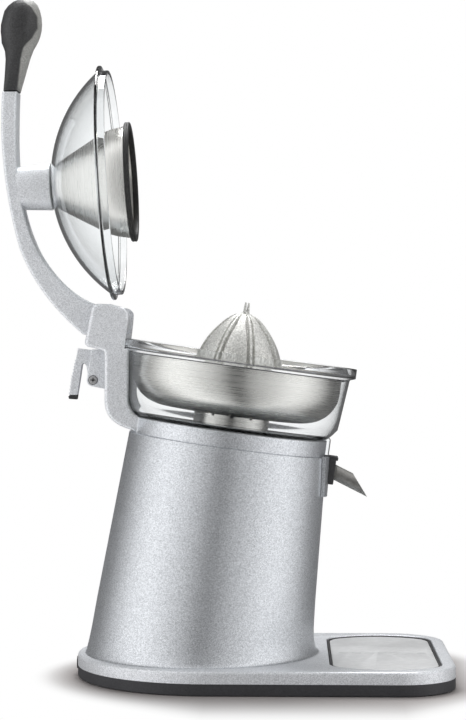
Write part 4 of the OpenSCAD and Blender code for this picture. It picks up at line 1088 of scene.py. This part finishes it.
def makeRing():
    mid, out, half = flangeZ - funnelSet["mouthDrop"] - ringSet["under"], ringSet["outer"], ringSet["half"]
    inner = funnelSet["mouth"] - funnelSet["sheet"] - ringSet["in"]
    section = [(inner, mid - half, 0.8), (out - 0.6, mid - half, 0.8), (out, mid - 1.2, 0.5),
               (out - 0.5, mid - 0.2), (out, mid + 0.8, 0.5), (out - 0.6, mid + half, 0.8),
               (inner, mid + half, 0.8)]
    piece(spun(section, 128), "mouthRing", "arm", "rubber", "funnel_ring", armPlace)


makeFunnel()
makeRing()
print("funnel ready")

keptFinish = {
    "rubber": ("rubber_feet", "shaft_seal"),
    "black": ("power_inlet",),
    "plainSteel": ("base_screws", "yoke_screws", "arm_pivot_pin", "pivot_clips", "catch_spring",
                   "motor_screws", "motor_bearings", "rotor", "gearbox_screws", "idler_pin", "drive_shaft",
                   "spout_pivot", "funnel_screw"),
    "can": ("motor_can", "gear_plate", "gear_cover"),
    "copper": ("motor_stator",),
    "brass": ("motor_pinion", "shaft_bushes"),
    "gear": ("idler_gear", "output_gear"),
}


def finishKept():
    for finish, nodes in keptFinish.items():
        for node in nodes:
            for slot in frame["nodes"][node].material_slots:
                slot.material = materials[finish]


finishKept()
print("inner pieces ready")

# sizes of the floor in metres
# near is a painted shadow: a dark floor colour round the base, fading to far between paleFrom and paleTo
floorSet = {"half": 3.0, "near": (0.29, 0.27, 0.265, 1), "far": (0.93, 0.92, 0.91, 1), "roughness": 0.9,
            "paleFrom": 0.06, "paleTo": 0.18, "shadow": 0.115, "narrow": 2.0}
white = {"Color": (1, 1, 1, 1), "Strength": 1.0}


def baseDistance(tree, place):
    # metres out from the base's outline, counted faster beyond its two ends
    do = partial(calc, tree)
    lo, hi = nodeBox("sole")
    half, corner = hi.y * mm, baseSet["cornerRadius"] * mm
    rearX, cornerX = lo.x * mm + half, hi.x * mm - corner
    split = addNode(tree, "SeparateXYZ")
    tree.links.new(place, split.inputs[0])
    x = split.outputs["X"]
    straight = spread(tree, x, rearX, cornerX, 0.0, half - corner)
    pastX = do("MAXIMUM", do("MAXIMUM", do("SUBTRACT", x, cornerX), do("SUBTRACT", rearX, x)), 0.0)
    pastY = do("MAXIMUM", do("SUBTRACT", do("ABSOLUTE", split.outputs["Y"]), straight), 0.0)
    length = do("SQRT", do("ADD", do("MULTIPLY", pastX, pastX), do("MULTIPLY", pastY, pastY)))
    out = do("SUBTRACT", length, do("SUBTRACT", half, straight))
    share = do("DIVIDE", pastX, length)
    return do("MULTIPLY", out, do("ADD", 1.0, do("MULTIPLY", share, floorSet["narrow"])))


def makeFloor():
    # lit near the machine, where its shadow falls and a painted shadow darkens the floor's own colour round
    # the base, and white further out
    bm = bmesh.new()
    bmesh.ops.create_grid(bm, x_segments=1, y_segments=1, size=floorSet["half"])
    floor = addObject("floor", meshOf(bm, "floor"))
    material, tree, surface = newMaterial("floorWhite", {"Roughness": floorSet["roughness"]})
    do = partial(calc, tree)
    offset = baseDistance(tree, addNode(tree, "TexCoord").outputs["Object"])
    # painted shadow: the floor's colour is dark close to the base
    paintedShadowFade = spread(tree, offset, floorSet["paleFrom"], floorSet["paleTo"])
    tree.links.new(mixColour(tree, paintedShadowFade, floorSet["near"], floorSet["far"]), surface.inputs["Base Color"])
    away = spread(tree, offset, 0.0, floorSet["shadow"])
    far = do("MULTIPLY", do("MULTIPLY", away, away), do("SUBTRACT", 3.0, do("MULTIPLY", away, 2.0)))
    path = addNode(tree, "LightPath").outputs
    seen = do("MAXIMUM", path["Is Transmission Ray"], do("MULTIPLY", path["Is Camera Ray"], far))
    glow = addNode(tree, "Emission", white)
    floorLook = mixShader(tree, seen, surface.outputs[0], glow.outputs[0])
    # what metal mirrors is the studio all round, not the floor
    mirrored = do("MINIMUM", path["Glossy Depth"], 1.0)
    passing = addNode(tree, "BsdfTransparent")
    showSurface(tree, mixShader(tree, mirrored, floorLook, passing.outputs[0]))
    floor.data.materials.append(material)


studioSet = {
    # lightness all round: 0.5 is the camera's side, 0 and 1 meet behind the machine
    "round": [(0.0, 0.13), (0.155, 0.15), (0.215, 0.7), (0.275, 1.4), (0.333, 1.45), (0.389, 1.05),
              (0.44, 0.72), (0.468, 0.45), (0.484, 0.05), (0.516, 0.05), (0.532, 0.4), (0.56, 0.62),
              (0.611, 0.85), (0.667, 1.25), (0.715, 1.4), (0.778, 0.9), (0.845, 0.15), (1.0, 0.13)],
    "blue": 1.01, "fill": 0.5}


def makeWorld():
    world = bpy.data.worlds.new("studio")
    bpy.context.scene.world = world
    world.use_nodes = True
    tree = world.node_tree
    tree.nodes.clear()
    do = partial(calc, tree)
    path = addNode(tree, "LightPath").outputs
    split = addNode(tree, "SeparateXYZ")
    tree.links.new(addNode(tree, "TexCoord").outputs["Generated"], split.inputs[0])
    turn = do("ARCTAN2", split.outputs["X"], do("MULTIPLY", split.outputs["Y"], -1.0))
    around = greyRamp(tree, spread(tree, turn, -math.pi, math.pi), studioSet["round"], studioSet["blue"])
    studio = addNode(tree, "Background", {"Strength": 1.0})
    tree.links.new(around, studio.inputs["Color"])
    fill = addNode(tree, "Background", {"Color": (1, 1, 1, 1), "Strength": studioSet["fill"]})
    plain = addNode(tree, "Background", white)
    # a path that has met metal or the inside of a clear wall sees the studio, a straight one sees white
    mirrored = do("MINIMUM", path["Glossy Depth"], 1.0)
    lighting = mixShader(tree, mirrored, fill.outputs[0], studio.outputs[0])
    through = do("MULTIPLY", path["Is Transmission Ray"], do("SUBTRACT", 1.0, mirrored))
    seen = do("MAXIMUM", path["Is Camera Ray"], through)
    output = addNode(tree, "OutputWorld")
    tree.links.new(mixShader(tree, seen, lighting, plain.outputs[0]), output.inputs["Surface"])


lamps = {  # in metres and watts
    "leftSoft": {"at": (-1.3, -1.1, 0.9), "aim": (0, 0, 0.25), "size": (0.5, 1.1), "power": 12},
    "rightSoft": {"at": (1.5, -0.5, 0.8), "aim": (0, 0, 0.25), "size": (0.5, 1.1), "power": 9},
    "topSoft": {"at": (0.0, 0.8, 1.8), "aim": (0, 0, 0.2), "size": (0.9, 0.9), "power": 29, "mirrored": True},
}


def makeLamps():
    for name, lamp in lamps.items():
        data = bpy.data.lights.new(name, "AREA")
        data.shape = "RECTANGLE"
        data.size, data.size_y = lamp["size"]
        data.energy = lamp["power"]
        made = addObject(name, data)
        made.visible_camera = False
        made.visible_transmission = False
        made.visible_glossy = lamp.get("mirrored", False)
        aim(made, lamp["at"], lamp["aim"])


makeFloor()
makeWorld()
makeLamps()
bpy.context.scene.view_settings.view_transform = "Standard"
print("studio ready")
